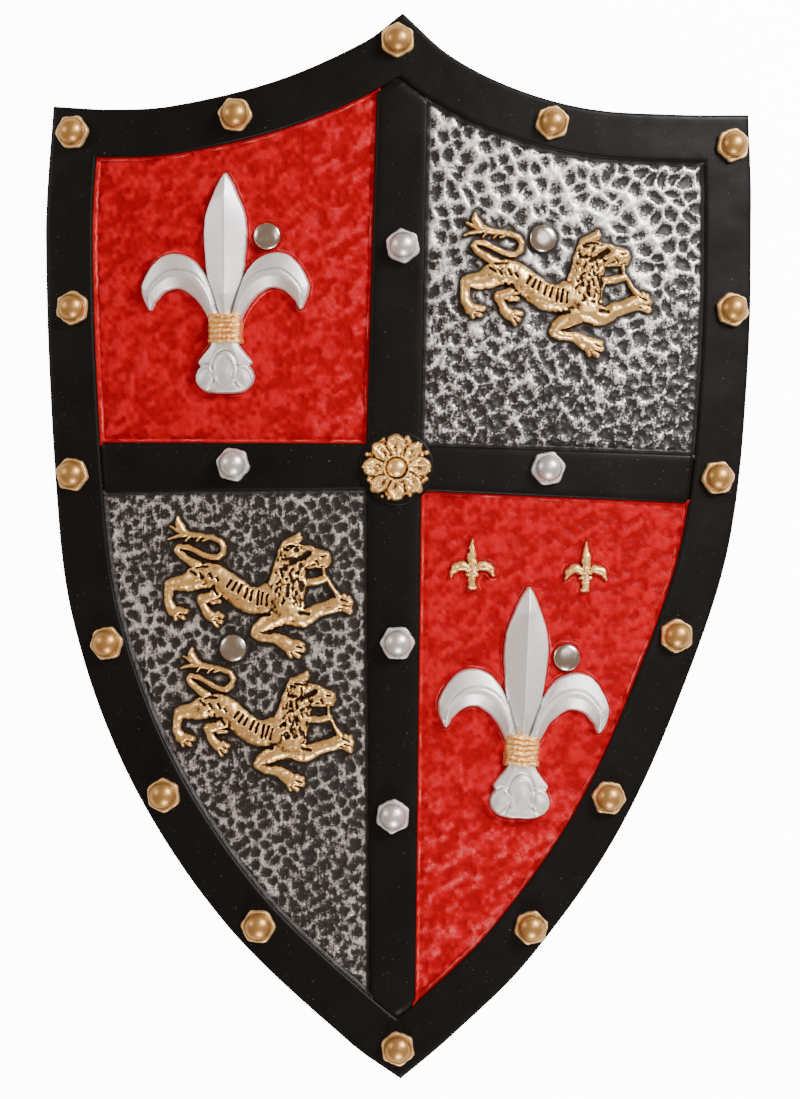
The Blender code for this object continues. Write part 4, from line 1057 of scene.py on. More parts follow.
def limb_relief(x, y, limbs):
    """Rise from 0 to 1 of rounded limbs that melt into each other, and how far inside them places are."""
    total = np.zeros(x.shape)
    inside = np.full(x.shape, -20.0)
    for limb in limbs.values():
        run = smooth_run(limb, LIMB_SPACING)
        rise = np.zeros(x.shape)
        for a, b in zip(run, run[1:]):
            along = b[:2] - a[:2]
            t = np.clip(((x - a[0]) * along[0] + (y - a[1]) * along[1]) / max(along @ along, 1e-9), 0, 1)
            half = a[2] + (b[2] - a[2]) * t
            gap = np.hypot(x - a[0] - t * along[0], y - a[1] - t * along[1])
            full = 0.46 + 0.54 * np.clip(half / 8.0, 0, 1)
            rise = np.maximum(rise, full * np.clip(1 - (gap / half) ** 2, 0, 1) ** 0.62)
            inside = np.maximum(inside, half - gap)
        total += rise**9
    return np.clip(total, 0, 1.5) ** (1 / 9), inside


def cut_grooves(x, y, grooves):
    """How deep a set of short grooves (from, to, half width, depth) is at each place."""
    cut = np.zeros(x.shape)
    for x0, y0, x1, y1, half, depth in grooves:
        along = np.array((x1 - x0, y1 - y0))
        t = np.clip(((x - x0) * along[0] + (y - y0) * along[1]) / (along @ along), 0, 1)
        gap = np.hypot(x - x0 - t * along[0], y - y0 - t * along[1])
        cut = np.maximum(cut, depth * np.exp(-(gap / half / 1.25) ** 2))
    return cut


def cells(u, v, size, seed):
    """Distances to the two nearest of a set of scattered points about one size apart."""
    x, y = (u * 0.87 + v * 0.50) / size, (v * 0.87 - u * 0.50) / size
    first = np.full(x.shape, 9.0)
    second = np.full(x.shape, 9.0)
    i, j = np.floor(x), np.floor(y)
    for di in (-1, 0, 1):
        for dj in (-1, 0, 1):
            ci, cj = i + di, j + dj
            aside, up = hashed(ci, cj, seed), hashed(ci, cj, seed + 5)
            gap = np.hypot(ci + 0.1 + 0.8 * aside - x, cj + 0.1 + 0.8 * up - y)
            second = np.minimum(second, np.maximum(first, gap))
            first = np.minimum(first, gap)
    return first, second


# How far outside each figure every place of its own grid is: (middle, turn, across, up, gaps)
gaps = []


def lion_piece(name, place, share, turn, seed, finish):
    """One lion as a closed relief, with its mane roughened and its grooves cut."""
    length = share * SHIELD_WIDTH / 100
    line_x = np.arange(-0.53 * length, 0.53 * length, LION_CELL)
    line_y = np.arange(-0.40 * length, 0.41 * length, LION_CELL)
    x, y = np.meshgrid(line_x, line_y, indexing="ij")
    px, py = x / length * 100, y / length * 100
    edge_x = 0.30 * lattice_noise(px, py, 3.0, seed)
    edge_y = 0.30 * lattice_noise(px, py, 3.0, seed + 1)
    rise, inside = limb_relief(px + edge_x, py + edge_y, LION_LIMBS)
    mane = fade(8, 12, px) * fade(28, 23, px) * fade(-12, -6, py) * fade(24, 18, py)
    haunch = np.exp(-((px + 28) ** 2 + (py - 6) ** 2) / 60)
    pits = lattice_noise(px, py, 1.5, seed + 2)
    tufts = lattice_noise(px * 1.3 + py * 0.4, py * 0.6 - px * 0.3, 1.9, seed + 3)
    rise = rise - 0.34 * mane * fade(-0.15, 0.55, tufts) - 0.20 * (mane + haunch) * fade(0.1, 0.6, pits)
    rise += 0.035 * pits + 0.08 * lattice_noise(px, py, 3.6, seed + 4)
    soft = 1 - 0.45 * mane * fade(16, 8, py)
    rise = rise * (1 - soft * cut_grooves(px + edge_x, py + edge_y, LION_GROOVES))
    wall = fade(-0.75, 0.20, inside)
    seat = FIELD_THICKNESS - LION_SUNK
    top = seat + (0.0019 + (LION_RISE - 0.0009) * np.clip(rise, 0, 1.02)) * wall
    # The mark for the gold paint: higher on the crests for painted highlight, and falling to 0 round the
    # outline, which paints shade round each lion's foot.
    high = 0.52 + (top - spread(top, 2)) / 0.00048 + (top - spread(top, 7)) / 0.0018 + 0.30 * (rise - 0.65)
    high = np.clip(high, 0, 1) * fade(-0.6, 0.3, inside)
    keep = kept_inside(inside, -0.80)
    a = math.radians(turn)
    middle = np.array((0, CROSSBAR_HEIGHT * SHIELD_HEIGHT / 100)) + np.array(place) * SHIELD_WIDTH / 100
    gaps.append((middle, a, line_x, line_y, -inside * length / 100))
    u = middle[0] + x * math.cos(a) - y * math.sin(a)
    v = middle[1] + x * math.sin(a) + y * math.cos(a)
    return solid_sheet(name, u, v, top, seat - FOOT_DEPTH, keep, finish, high=high)


lion_gold = gold_paint("lion_gold", 0.29, 0.25)
lion_brown = gold_paint("lion_brown", 0.31, 0.35)
for k, (name, place, share, turn) in enumerate(LIONS):
    lion = lion_piece("lion_" + name, place, share, turn, 80 + 10 * k, lion_brown if k else lion_gold)
    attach(lion, "root")
    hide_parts("shield_body")

# The two large fleurs-de-lis: cast with the red fields and painted matt silver, each bound at its waist by
# six gold cords that are moulded in one with it.
FLEUR_EDGE = 0.0018
FLEUR_RISE = 0.0052
FLEUR_CELL = 0.00043
FLEUR_SUNK = 0.0014
# Name, place and height in percent of the shield, share of the width, and turn in degrees
FLEURS = (
    ("large_upper_left", (-24.3, 20.5), 20.8, 1.0, 0.0),
    ("large_lower_right", (17.3, -19.2), 21.8, 0.97, -2.5),
)
# In percent of its height, from the middle of its band: the centre petal as (up, half width), and the left
# petal as its outer edge, crease and inner edge
CENTRE_PETAL = (
    (4.0, 2.0), (6.0, 2.6), (16.0, 6.2), (25.2, 8.2), (33.7, 9.1), (42.2, 9.7), (51.4, 8.8), (61.3, 5.3),
    (67.5, 2.3), (70.2, 0.6),
)
SIDE_PETAL = (
    ((-2.0, 3.0), (-3.0, 3.0), (-7.0, 3.0)),
    ((-8.0, 21.6), (-5.9, 13.6), (-10.5, 9.9)),
    ((-11.2, 27.3), (-9.1, 19.8), (-13.3, 13.5)),
    ((-16.2, 32.0), (-13.3, 24.3), (-16.9, 16.5)),
    ((-23.3, 34.0), (-20.4, 26.7), (-21.1, 18.5)),
    ((-30.8, 31.4), (-26.9, 25.6), (-26.6, 17.3)),
    ((-37.8, 20.5), (-33.8, 19.0), (-31.8, 12.5)),
    ((-37.5, 14.5), (-35.0, 14.0), (-32.8, 10.5)),
    ((-35.0, 9.0), (-34.6, 9.3), (-34.0, 8.7)),
)
FOOT = (
    (-4.0, 5.6), (-8.0, 6.6), (-11.7, 9.4), (-15.6, 12.2), (-17.2, 11.2), (-19.0, 12.3), (-22.5, 13.2),
    (-25.8, 12.0), (-28.4, 8.6), (-29.2, 4.0),
)
# The foot's three lobes: middle, half width, half height and rise
LOBES = ((0.3, -19.5, 5.2, 8.2, 0.34), (-9.3, -22.8, 4.3, 5.6, 0.24), (9.0, -22.6, 4.2, 5.4, 0.24))
BAND_HALF_WIDTH = 7.7
BAND_HALF_HEIGHT = 6.9
BAND_STRANDS = 6
BAND_CELL = 0.22
BAND_SUNK = 0.0012


def facets_onto(xs, ys, points, faces):
    """Heights of a faceted shape (x, y, height) over the points of a grid, and -1 where it isn't."""
    found = np.full((len(xs), len(ys)), -1.0)
    for face in faces:
        a, b, c = (points[k] for k in face)
        turn = (b[0] - a[0]) * (c[1] - a[1]) - (c[0] - a[0]) * (b[1] - a[1])
        if abs(turn) < 1e-9:
            continue
        low, high = np.minimum(np.minimum(a, b), c), np.maximum(np.maximum(a, b), c)
        i0, i1 = np.searchsorted(xs, (low[0] - 0.1, high[0] + 0.1))
        j0, j1 = np.searchsorted(ys, (low[1] - 0.1, high[1] + 0.1))
        x, y = xs[i0:i1, None] - a[0], ys[None, j0:j1] - a[1]
        s = (x * (c[1] - a[1]) - (c[0] - a[0]) * y) / turn
        t = ((b[0] - a[0]) * y - x * (b[1] - a[1])) / turn
        covered = (s > -1e-6) & (t > -1e-6) & (s + t < 1 + 1e-6)
        height = a[2] + s * (b[2] - a[2]) + t * (c[2] - a[2])
        part = found[i0:i1, j0:j1]
        part[covered] = np.maximum(part[covered], height[covered])
    return found


def leaf_onto(xs, ys, lines):
    """A leaf given as side-by-side lines of (x, y, height) points: its heights, and how far inside it is."""
    lines = np.array(lines)
    faces = []
    count = lines.shape[1]
    for k in range(len(lines) - 1):
        for i in range(count - 1):
            a, b = k * count + i, (k + 1) * count + i
            faces += [(a, a + 1, b + 1), (a, b + 1, b)]
    found = facets_onto(xs, ys, lines.reshape(-1, 3), faces)
    loop = np.vstack([lines[0, :, :2], lines[-1, ::-1, :2]])
    x, y = np.meshgrid(xs, ys, indexing="ij")
    return found, polygon_distance(x, y, loop)


def smooth_rows(rows, count):
    """Rows of joined points made into the same rows of count evenly spread points on smooth curves."""
    runs = []
    for line in np.array(rows, float).transpose(1, 0, 2):
        fine = smooth_run(line, 0.4)
        steps = lengths_along(fine)
        marks = [steps[np.argmin(np.linalg.norm(fine - point, axis=1))] for point in line]
        share = np.interp(np.linspace(0, len(line) - 1, count), np.arange(len(line)), marks)
        runs.append(np.column_stack([np.interp(share, steps, fine[:, axis]) for axis in (0, 1)]))
    return runs


def fleur_relief(xs, ys):
    """Rise from 0 to 1 of a fleur-de-lis without its band, and how far inside it each place is."""
    low = FLEUR_EDGE / FLEUR_RISE
    petal = smooth_run(CENTRE_PETAL, 1.2)
    up, half = petal[:, 0], petal[:, 1]
    ridge = low + (1 - low) * np.minimum(1, half / 6.0)
    flat = 0 * up + low
    rise, inside = leaf_onto(xs, ys, [np.column_stack(line) for line in (
        (-half, up, flat), (0 * up, up, ridge), (half, up, flat))])
    for side in (-1, 1):
        outer, crease, inner = smooth_rows(SIDE_PETAL, 60)
        width = np.linalg.norm(outer - inner, axis=1)
        top = low + (1 - low) * 0.80 * np.minimum(1, width / 9.0)
        lip = crease + (inner - crease) * 0.10
        belly = crease + (inner - crease) * 0.38
        shy = crease + (outer - crease) * 0.07
        lines = []
        for line, level in ((outer, flat[:1] + 0.10), (shy, top - 0.10), (crease, top - 0.24), (lip, top),
                            (belly, top), (inner, flat[:1])):
            heights = np.broadcast_to(level, width.shape)
            lines.append(np.column_stack([-side * line[:, 0], line[:, 1], heights]))
        found, leaf_inside = leaf_onto(xs, ys, lines)
        rise = np.maximum(rise, found)
        inside = np.maximum(inside, leaf_inside)
    foot = smooth_run(FOOT, 0.8)
    up, half = foot[:, 0], foot[:, 1]
    shoulder = low + 0.34 + 0 * up
    found, foot_inside = leaf_onto(xs, ys, [np.column_stack(line) for line in (
        (-half, up, shoulder - 0.20), (-0.55 * half, up, shoulder), (0.55 * half, up, shoulder),
        (half, up, shoulder - 0.20))])
    x, y = np.meshgrid(xs, ys, indexing="ij")
    lobes = np.zeros(x.shape)
    for cx, cy, wide, tall, level in LOBES:
        lean = (x - cx) * (1 if cx < -1 else -1 if cx > 1 else 0) * 0.30
        gap = np.hypot((x - cx) / wide, (y - cy - lean) / tall)
        ring = np.exp(-((gap - 0.93) / 0.13) ** 2) * fade(-7.5, -3.0, y - cy)
        lobes += level * (0.42 * ring + 0.55 * np.clip(1 - gap, 0, 1))
        lobes -= 0.13 * np.exp(-((gap - 1.13) / 0.07) ** 2) * fade(-7.5, -3.0, y - cy)
    found = np.where(found > 0, found + lobes, found)
    rise = np.maximum(rise, found)
    inside = np.maximum(inside, foot_inside)
    return np.where(rise < 0, low, rise), inside


def place_on_face(x, y, place, turn):
    """Local places turned and moved to a place given in percent of the width and height."""
    a = math.radians(turn)
    middle = shield_place([place])[0]
    return middle[0] + x * math.cos(a) - y * math.sin(a), middle[1] + x * math.sin(a) + y * math.cos(a)


def silver_paint(name, color):
    """Matt silver, softly mottled, with fine dark flecks and painted shade in its hollows and at the foot of
    its edges.
    """
    made, tree, shader = new_material(name, 0.85)
    flecks = ramp(tree, noise(tree, 0.0016, 2.0), 0.72, 0.80)
    # Painted shade: the silver is darker where the relief is hollow and round its foot.
    painted_shade = ramp(tree, mark_of(tree, "high"), 0.02, 0.34)
    paint = blend(tree, noise(tree, 0.006, 3.0), tuple(c * 0.86 for c in color), color)
    paint = blend(tree, painted_shade, tuple(c * 0.38 for c in color), paint)
    tree.links.new(blend(tree, flecks, paint, (0.12, 0.11, 0.11)), shader.inputs["Base Color"])
    shader.inputs["Roughness"].default_value = 0.48
    bump(tree, shader, noise(tree, 0.0010, 4.0), 0.00010)
    return made


def fleur_piece(name, place, share, width_share, turn, seed, finish):
    """One large fleur-de-lis as a closed relief, without its cords."""
    height = share * SHIELD_HEIGHT / 100
    xs = np.arange(-0.42 * height, 0.42 * height, FLEUR_CELL)
    ys = np.arange(-0.33 * height, 0.74 * height, FLEUR_CELL)
    rise, inside = fleur_relief(xs / height * 100 / width_share, ys / height * 100)
    x, y = np.meshgrid(xs, ys, indexing="ij")
    inside = inside + 0.14 * lattice_noise(x, y, 0.0031, seed)
    wall = fade(-0.5, 0.3, inside)
    seat = FIELD_THICKNESS - FLEUR_SUNK
    top = seat + (FLEUR_SUNK + FLEUR_RISE * rise) * wall
    # The mark is low in the creases and falls to 0 round the outline, where the silver gets painted shade.
    high = np.clip(0.6 + (top - spread(top, 3)) / 0.0010, 0, 1) * fade(-0.5, 0.2, inside)
    middle = shield_place([place])[0]
    gaps.append((middle, math.radians(turn), xs, ys, -inside * height / 100))
    keep = kept_inside(inside, -0.55)
    u, v = place_on_face(x, y, place, turn)
    return solid_sheet(name, u, v, top, seat - FOOT_DEPTH, keep, finish, high=high)


def band_piece(name, place, share, width_share, turn, seed, finish):
    """The gold cords round the waist, slightly wavy and a little uneven in length."""
    percent = share * SHIELD_HEIGHT / 100 / 100
    reach_x, reach_y = BAND_HALF_WIDTH * 1.12, BAND_HALF_HEIGHT * 1.10
    xs, ys = np.arange(-reach_x, reach_x, BAND_CELL), np.arange(-reach_y, reach_y, BAND_CELL)
    x, y = np.meshgrid(xs, ys, indexing="ij")
    wavy = y + 0.55 * lattice_noise(x, y, 5.0, seed) + 0.25 * lattice_noise(x, y, 2.2, seed + 1)
    row = (wavy / BAND_HALF_HEIGHT + 1) / 2 * BAND_STRANDS
    cord = np.abs(np.sin(math.pi * row)) ** 0.7
    uneven = lattice_noise(np.floor(row), 0 * row, 1.3, seed + 2)
    half = BAND_HALF_WIDTH * (0.97 + 0.035 * uneven + 0.03 * cord)
    inside = np.minimum(half - np.abs(x), BAND_HALF_HEIGHT - np.abs(wavy))
    rise = (0.62 + 0.38 * cord) * np.sqrt(np.clip(1 - (np.abs(x) / (half * 1.04)) ** 3, 0.05, 1))
    rise += 0.06 * lattice_noise(x, y, 1.0, seed + 3)
    wall = fade(-0.4, 0.5, inside)
    seat = FIELD_THICKNESS - BAND_SUNK
    top = seat + (BAND_SUNK + (FLEUR_RISE + 0.0001) * rise) * wall
    high = np.clip(0.62 + 0.5 * (cord - 0.6) + 0.2 * lattice_noise(x, y, 1.5, seed + 4), 0, 1)
    keep = kept_inside(inside, -0.45)
    u, v = place_on_face(x * percent * width_share, y * percent, place, turn)
    return solid_sheet(name, u, v, top, seat - FOOT_DEPTH, keep, finish, high=high)


fleur_silver = silver_paint("fleur_silver", (0.95, 0.945, 0.935))
cord_gold = gold_paint("cord_gold", 0.42, -0.30)
for k, (name, place, share, width_share, turn) in enumerate(FLEURS):
    fleur = fleur_piece("fleur_" + name, place, share, width_share, turn, 120 + 10 * k, fleur_silver)
    cords = band_piece("cords_" + name, place, share, width_share, turn, 125 + 10 * k, cord_gold)
    for made, slot in ((fleur, "silver_paint"), (cords, "gold_paint")):
        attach(made, "root")
        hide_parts("shield_body")

# The two small gold fleurs-de-lis under the crossbar: a simpler flower at a quarter of the size, cast with
# the red field, with a thin spear petal, drooping wing petals and a narrow stub of a foot.
SMALL_FLEUR_RISE = 0.0020
SMALL_FLEUR_CELL = 0.00023
SMALL_FLEUR_SUNK = 0.0012
SMALL_FLEURS = (("small_left", (10.3, -2.5), 4.8, 1.10, 0.0), ("small_right", (26.3, -2.8), 4.8, 1.04, -1.5))
# Limbs in percent of its height from its band, for the left half; the other half mirrors them
SMALL_LIMBS = {
    "spear": ((0, 0, 7.5), (0, 20, 8.5), (0, 34, 8.5), (0, 50, 5.0), (0, 65, 2.4)),
    "petal": ((-4, 3, 6.0), (-12, 11, 8.0), (-22, 13, 9.5), (-31, 8, 8.0), (-36, 0, 5.0), (-38, -7, 2.6)),
    "waist": ((-8, -4, 4.5), (8, -4, 4.5)),
    "foot": ((0, -10, 8.0), (0, -18, 6.8), (1, -27, 6.6)),
    "knob": ((-5, -29, 4.0), (5, -29, 4.4)),
}


def small_fleur_piece(name, place, share, width_share, turn, seed, finish):
    """One small fleur-de-lis as a closed relief, with two grooves across its waist."""
    height = share * SHIELD_HEIGHT / 100
    xs = np.arange(-0.50 * height, 0.50 * height, SMALL_FLEUR_CELL)
    ys = np.arange(-0.36 * height, 0.72 * height, SMALL_FLEUR_CELL)
    x, y = np.meshgrid(xs, ys, indexing="ij")
    px, py = x / height * 100 / width_share, y / height * 100
    aside, up = lattice_noise(px, py, 7.0, seed), lattice_noise(px, py, 7.0, seed + 1)
    px, py = px + 1.6 * aside, py + 1.6 * up
    rise, inside = limb_relief(px, py, SMALL_LIMBS)
    other, other_inside = limb_relief(-px, py, SMALL_LIMBS)
    rise, inside = np.maximum(rise, other), np.maximum(inside, other_inside)
    wall = fade(-2.4, 1.8, inside)
    seat = FIELD_THICKNESS - SMALL_FLEUR_SUNK
    low_groove, high_groove = np.exp(-((py + 11) / 1.8) ** 2), np.exp(-((py - 2.5) / 1.6) ** 2)
    rise = rise - 0.22 * low_groove - 0.25 * high_groove * (np.abs(px) < 9)
    rise = rise + 0.10 * lattice_noise(px, py, 6.0, seed + 2)
    top = seat + (SMALL_FLEUR_SUNK + SMALL_FLEUR_RISE * np.clip(rise, 0, 1)) * wall
    # The mark for the gold paint falls to 0 round the outline, which paints shade round each flower's foot.
    high = np.clip(0.60 + (top - spread(top, 3)) / 0.0006, 0, 1) * fade(-1.5, 1.5, inside)
    keep = kept_inside(inside, -3.0)
    gaps.append((shield_place([place])[0], math.radians(turn), xs, ys, -inside * height / 100))
    u, v = place_on_face(x, y, place, turn)
    return solid_sheet(name, u, v, top, seat - FOOT_DEPTH, keep, finish, high=high)


small_gold = gold_paint("small_gold", 0.38, 0.02)
for k, (name, place, share, width_share, turn) in enumerate(SMALL_FLEURS):
    flower = small_fleur_piece("fleur_" + name, place, share, width_share, turn, 150 + 10 * k, small_gold)
    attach(flower, "root")
    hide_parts("shield_body")

# The four rivets: smooth nickel-plated double caps that go through the shield and the two straps. Each has
# a low domed front cap, a post and a flatter cap at the back.
RIVET_CAP = 0.0122
RIVET_CAP_RISE = 0.0022
RIVET_SHANK = 0.0045
REAR_CAP = 0.0100
REAR_CAP_RISE = 0.0016
TOUCH_GAP = 0.0003
STRAP_THICKNESS = 0.0022
RIVET_SIDES = 96
# Beside which figure, and how far across and up from its middle in percent of that figure's size
RIVETS = {
    "upper_left": ("large_upper_left", 19.2, 41.5),
    "upper_right": ("upper_right", -7.2, 23.6),
    "lower_left": ("lower_left_high", -13.2, -31.7),
    "lower_right": ("large_lower_right", 19.4, 39.9),
}


def rivet_place(side):
    """A rivet's middle on the flat face, set off from the figure that it stands beside."""
    beside, across, up = RIVETS[side]
    crossing_place = np.array((0, CROSSBAR_HEIGHT * SHIELD_HEIGHT / 100))
    figures = {name: (crossing_place + np.array(place) * SHIELD_WIDTH / 100, share * SHIELD_WIDTH)
               for name, place, share, _ in LIONS}
    figures.update({name: (shield_place([place])[0], share * SHIELD_HEIGHT)
                    for name, place, share, *_ in FLEURS})
    middle, size = figures[beside]
    return middle + np.array((across, up)) * size / 100 / 100


def rivet_piece(name, place, finish):
    """A rivet lathed from one profile: rear cap, post and front cap, all with rolled rims."""
    seat = FIELD_THICKNESS + TOUCH_GAP
    under = -STRAP_THICKNESS - 2 * TOUCH_GAP
    rear, front, shank = REAR_CAP / 2, RIVET_CAP / 2, RIVET_SHANK / 2
    profile = []
    for step in range(10):
        a = math.radians(90 - 80 * step / 9)
        profile.append((rear * math.cos(a) ** 0.9, under - 0.0003 - (REAR_CAP_RISE - 0.0003) * math.sin(a)))
    profile += [
        (rear, under - 0.0003), (rear - 0.0002, under), (shank, under), (shank, seat), (front - 0.0003, seat),
        (front - 0.00004, seat + 0.0002), (front, seat + 0.0005),
    ]
    for step in range(1, 15):
        a = math.radians(6 * step)
        rise = (RIVET_CAP_RISE - 0.0006) * math.sin(a)
        profile.append((front * math.cos(a) ** 0.78, seat + 0.0006 + rise))
    angle = np.arange(RIVET_SIDES) * 2 * math.pi / RIVET_SIDES
    points = [(r * math.cos(t), r * math.sin(t), h) for r, h in profile[1:] for t in angle]
    faces = sheet_faces(len(profile) - 1, RIVET_SIDES, wrap_columns=True).tolist()
    low, high = len(points), len(points) + 1
    points += [(0, 0, profile[0][1]), (0, 0, seat + RIVET_CAP_RISE)]
    last = (len(profile) - 2) * RIVET_SIDES
    for k in range(RIVET_SIDES):
        faces.append([low, (k + 1) % RIVET_SIDES, k])
        faces.append([high, last + k, last + (k + 1) % RIVET_SIDES])
    mesh = mesh_of(name, points, faces)
    lean = Matrix.Rotation(math.asin(place[0] / FACE_RADIUS), 4, "Y")
    mesh.transform(Matrix.Translation(bent(place[0], place[1], 0.0).tolist()) @ lean)
    return add_piece(name, mesh, finish)


def nickel_plate():
    """Mirror-like nickel with a faint warm tint and a few soft dull spots."""
    made, tree, shader = new_material("nickel_plate", 1.0)
    shader.inputs["Base Color"].default_value = (0.56, 0.52, 0.47, 1)
    dull = ramp(tree, noise(tree, 0.004, 3.0), 0.45, 0.75)
    vary_gloss(tree, shader, dull, 0.20, 0.32)
    return made


nickel = nickel_plate()
for side in RIVETS:
    rivet = rivet_piece("rivet_cap_" + side, rivet_place(side), nickel)
    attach(rivet, "root")
    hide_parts("rivet_" + side)

# The four sunk fields: hammered and painted red (two) or silver over black (two), all moulded in one with
# the border. Each has a rounded edge that is covered by the walls of the border and the bars.
FIELD_CELL = 0.00067
FIELD_GROWN = 0.0013
FIELD_FLOOR = 0.0060
QUARTERS = {
    "red_upper_left": (-1, 1), "silver_upper_right": (1, 1),
    "silver_lower_left": (-1, -1), "red_lower_right": (1, -1),
}
FAR = 0.006
# The silver fields above (1) and below (-1): size of the large and the small dimples, and depth
HAMMERING = {1: (0.0074, 0.0044, 0.00110), -1: (0.0056, 0.0036, 0.00080)}
RED_DEPTH = 0.00140


def field_inside(u, v, side, level):
    """How far each place is inside one of the four fields."""
    from_upright = side * (u - upright_side(side, v))
    from_crossbar = level * (v - crossbar_side(level, u))
    inside = polygon_distance(u, v, inner_line[::3])
    return np.minimum(np.minimum(from_upright, from_crossbar), inside)


def outside_figures(u, v):
    """How far outside the nearest figure each place is, up to a few millimetres."""
    nearest = np.full(u.shape, FAR)
    for middle, turn, xs, ys, gap in gaps:
        du, dv = u - middle[0], v - middle[1]
        x = (du * math.cos(turn) + dv * math.sin(turn) - xs[0]) / (xs[1] - xs[0])
        y = (dv * math.cos(turn) - du * math.sin(turn) - ys[0]) / (ys[1] - ys[0])
        covered = (x >= 0) & (y >= 0) & (x < len(xs) - 1) & (y < len(ys) - 1)
        i, j = x[covered].astype(int), y[covered].astype(int)
        s, t = x[covered] - i, y[covered] - j
        low = gap[i, j] * (1 - s) + gap[i + 1, j] * s
        high = gap[i, j + 1] * (1 - s) + gap[i + 1, j + 1] * s
        nearest[covered] = np.minimum(nearest[covered], low * (1 - t) + high * t)
    for side in RIVETS:
        middle = rivet_place(side)
        nearest = np.minimum(nearest, np.hypot(u - middle[0], v - middle[1]) - RIVET_CAP / 2)
    return nearest


def hammered(u, v, size, seed):
    """A hammered surface from 0 in the hollows to 1 on the ridges between them."""
    u = u + size * 0.30 * lattice_noise(u, v, size * 1.3, seed + 1)
    v = v + size * 0.30 * lattice_noise(u, v, size * 1.3, seed + 2)
    first, second = cells(u, v, size, seed)
    return 0.62 * fade(0.05, 0.66, first) + 0.38 * (1 - fade(0.0, 0.45, second - first))


def flat_bottomed(name, u, v, top, bottom, keep, finish, **marks):
    """A closed piece from a grid: the kept cells on top, walls, and one face below in place of a sheet."""
    quads, used, rim = kept_cells(keep)
    upper = bent(u.ravel()[used], v.ravel()[used], top.ravel()[used])
    rim = dict(rim)
    ring = [min(rim)]
    while rim[ring[-1]] != ring[0]:
        ring.append(rim[ring[-1]])
    flat_u, flat_v = u.ravel()[used][ring], v.ravel()[used][ring]
    lower = bent(flat_u, flat_v, np.full(len(ring), bottom))
    shift = len(used)
    faces = quads.tolist()
    for k in range(len(ring)):
        k2 = (k + 1) % len(ring)
        faces.append([ring[k2], ring[k], shift + k, shift + k2])
    faces.append([shift + k for k in range(len(ring))])
    marks = {
        mark: np.concatenate([values.ravel()[used], values.ravel()[used][ring]])
        for mark, values in marks.items()
    }
    return add_piece(name, mesh_of(name, np.vstack([upper, lower]), faces, **marks), finish)


def field_piece(name, side, level, finish):
    """One field with its hammered relief, its moats, a mark of how high each point is (lowered towards the
    bottom of the upper silver field for painted light), and a mark of where the red fields get painted
    glints.
    """
    u_line = np.arange(0, SHIELD_WIDTH / 2, FIELD_CELL) * side
    v_line = np.arange(-0.06, SHIELD_HEIGHT / 2 + 0.06, FIELD_CELL) * level
    u, v = np.meshgrid(u_line - side * 0.012, v_line, indexing="ij")
    inside = field_inside(u, v, side, level)
    rows, columns = np.where(inside > -0.004)
    needed = np.s_[rows.min():rows.max() + 1, columns.min():columns.max() + 1]
    u, v, inside = u[needed], v[needed], inside[needed]
    keep = kept_inside(inside, -FIELD_GROWN)
    seed = 20 + 3 * side + 5 * level
    silver = name.startswith("silver")
    near = outside_figures(u, v)
    if silver:
        large, little, depth = HAMMERING[level]
        big = hammered(u, v, large, seed)
        small = hammered(u, v, little, seed + 11)
        higher = 3 * (v - 0.10) / 0.12 if level > 0 else 0
        share = fade(-0.5, 0.5, lattice_noise(u, v, 0.035, seed + 12) + higher)
        relief = big * (0.55 + 0.40 * share) + small * (0.45 - 0.40 * share)
    else:
        along, across = (u * 0.87 + v * 0.50) / 1.9, v * 0.87 - u * 0.50
        relief = 0.5 + 0.34 * lattice_noise(along, across, 0.0029, seed)
        relief += 0.24 * lattice_noise(u, v, 0.0020, seed + 4)
        depth = RED_DEPTH
    # In the upper silver field the mark drops towards its lower part, so the top of the field is painted
    # lighter: a painted highlight for the light from above.
    high = relief - (0.26 * fade(0.125, 0.050, v) if silver and level > 0 else 0)
    edge = fade(0.0002, 0.0022, inside) * fade(-0.0002, 0.0022, near)
    near_wall = np.exp(-((inside - 0.0016) / 0.0008) ** 2)
    moat = np.exp(-((near - 0.0004) / 0.0008) ** 2)
    top = FIELD_THICKNESS - 0.0002 - depth * (1 - relief) * edge - 0.00035 * near_wall - 0.00045 * moat
    top += 0.0016 * (1 - fade(-0.0004, 0.0013, inside))
    # Where the red fields get painted glints: near the upright in the upper field, and towards the bottom of
    # the lower field.
    dusty = fade(0.060, 0.010, -u) * 0.55 if level > 0 else fade(-0.085, -0.150, v)
    return flat_bottomed(name, u, v, top, FIELD_FLOOR, keep, finish, high=high, inside=inside, near=near,
                         dusty=0.08 + 0.92 * dusty)


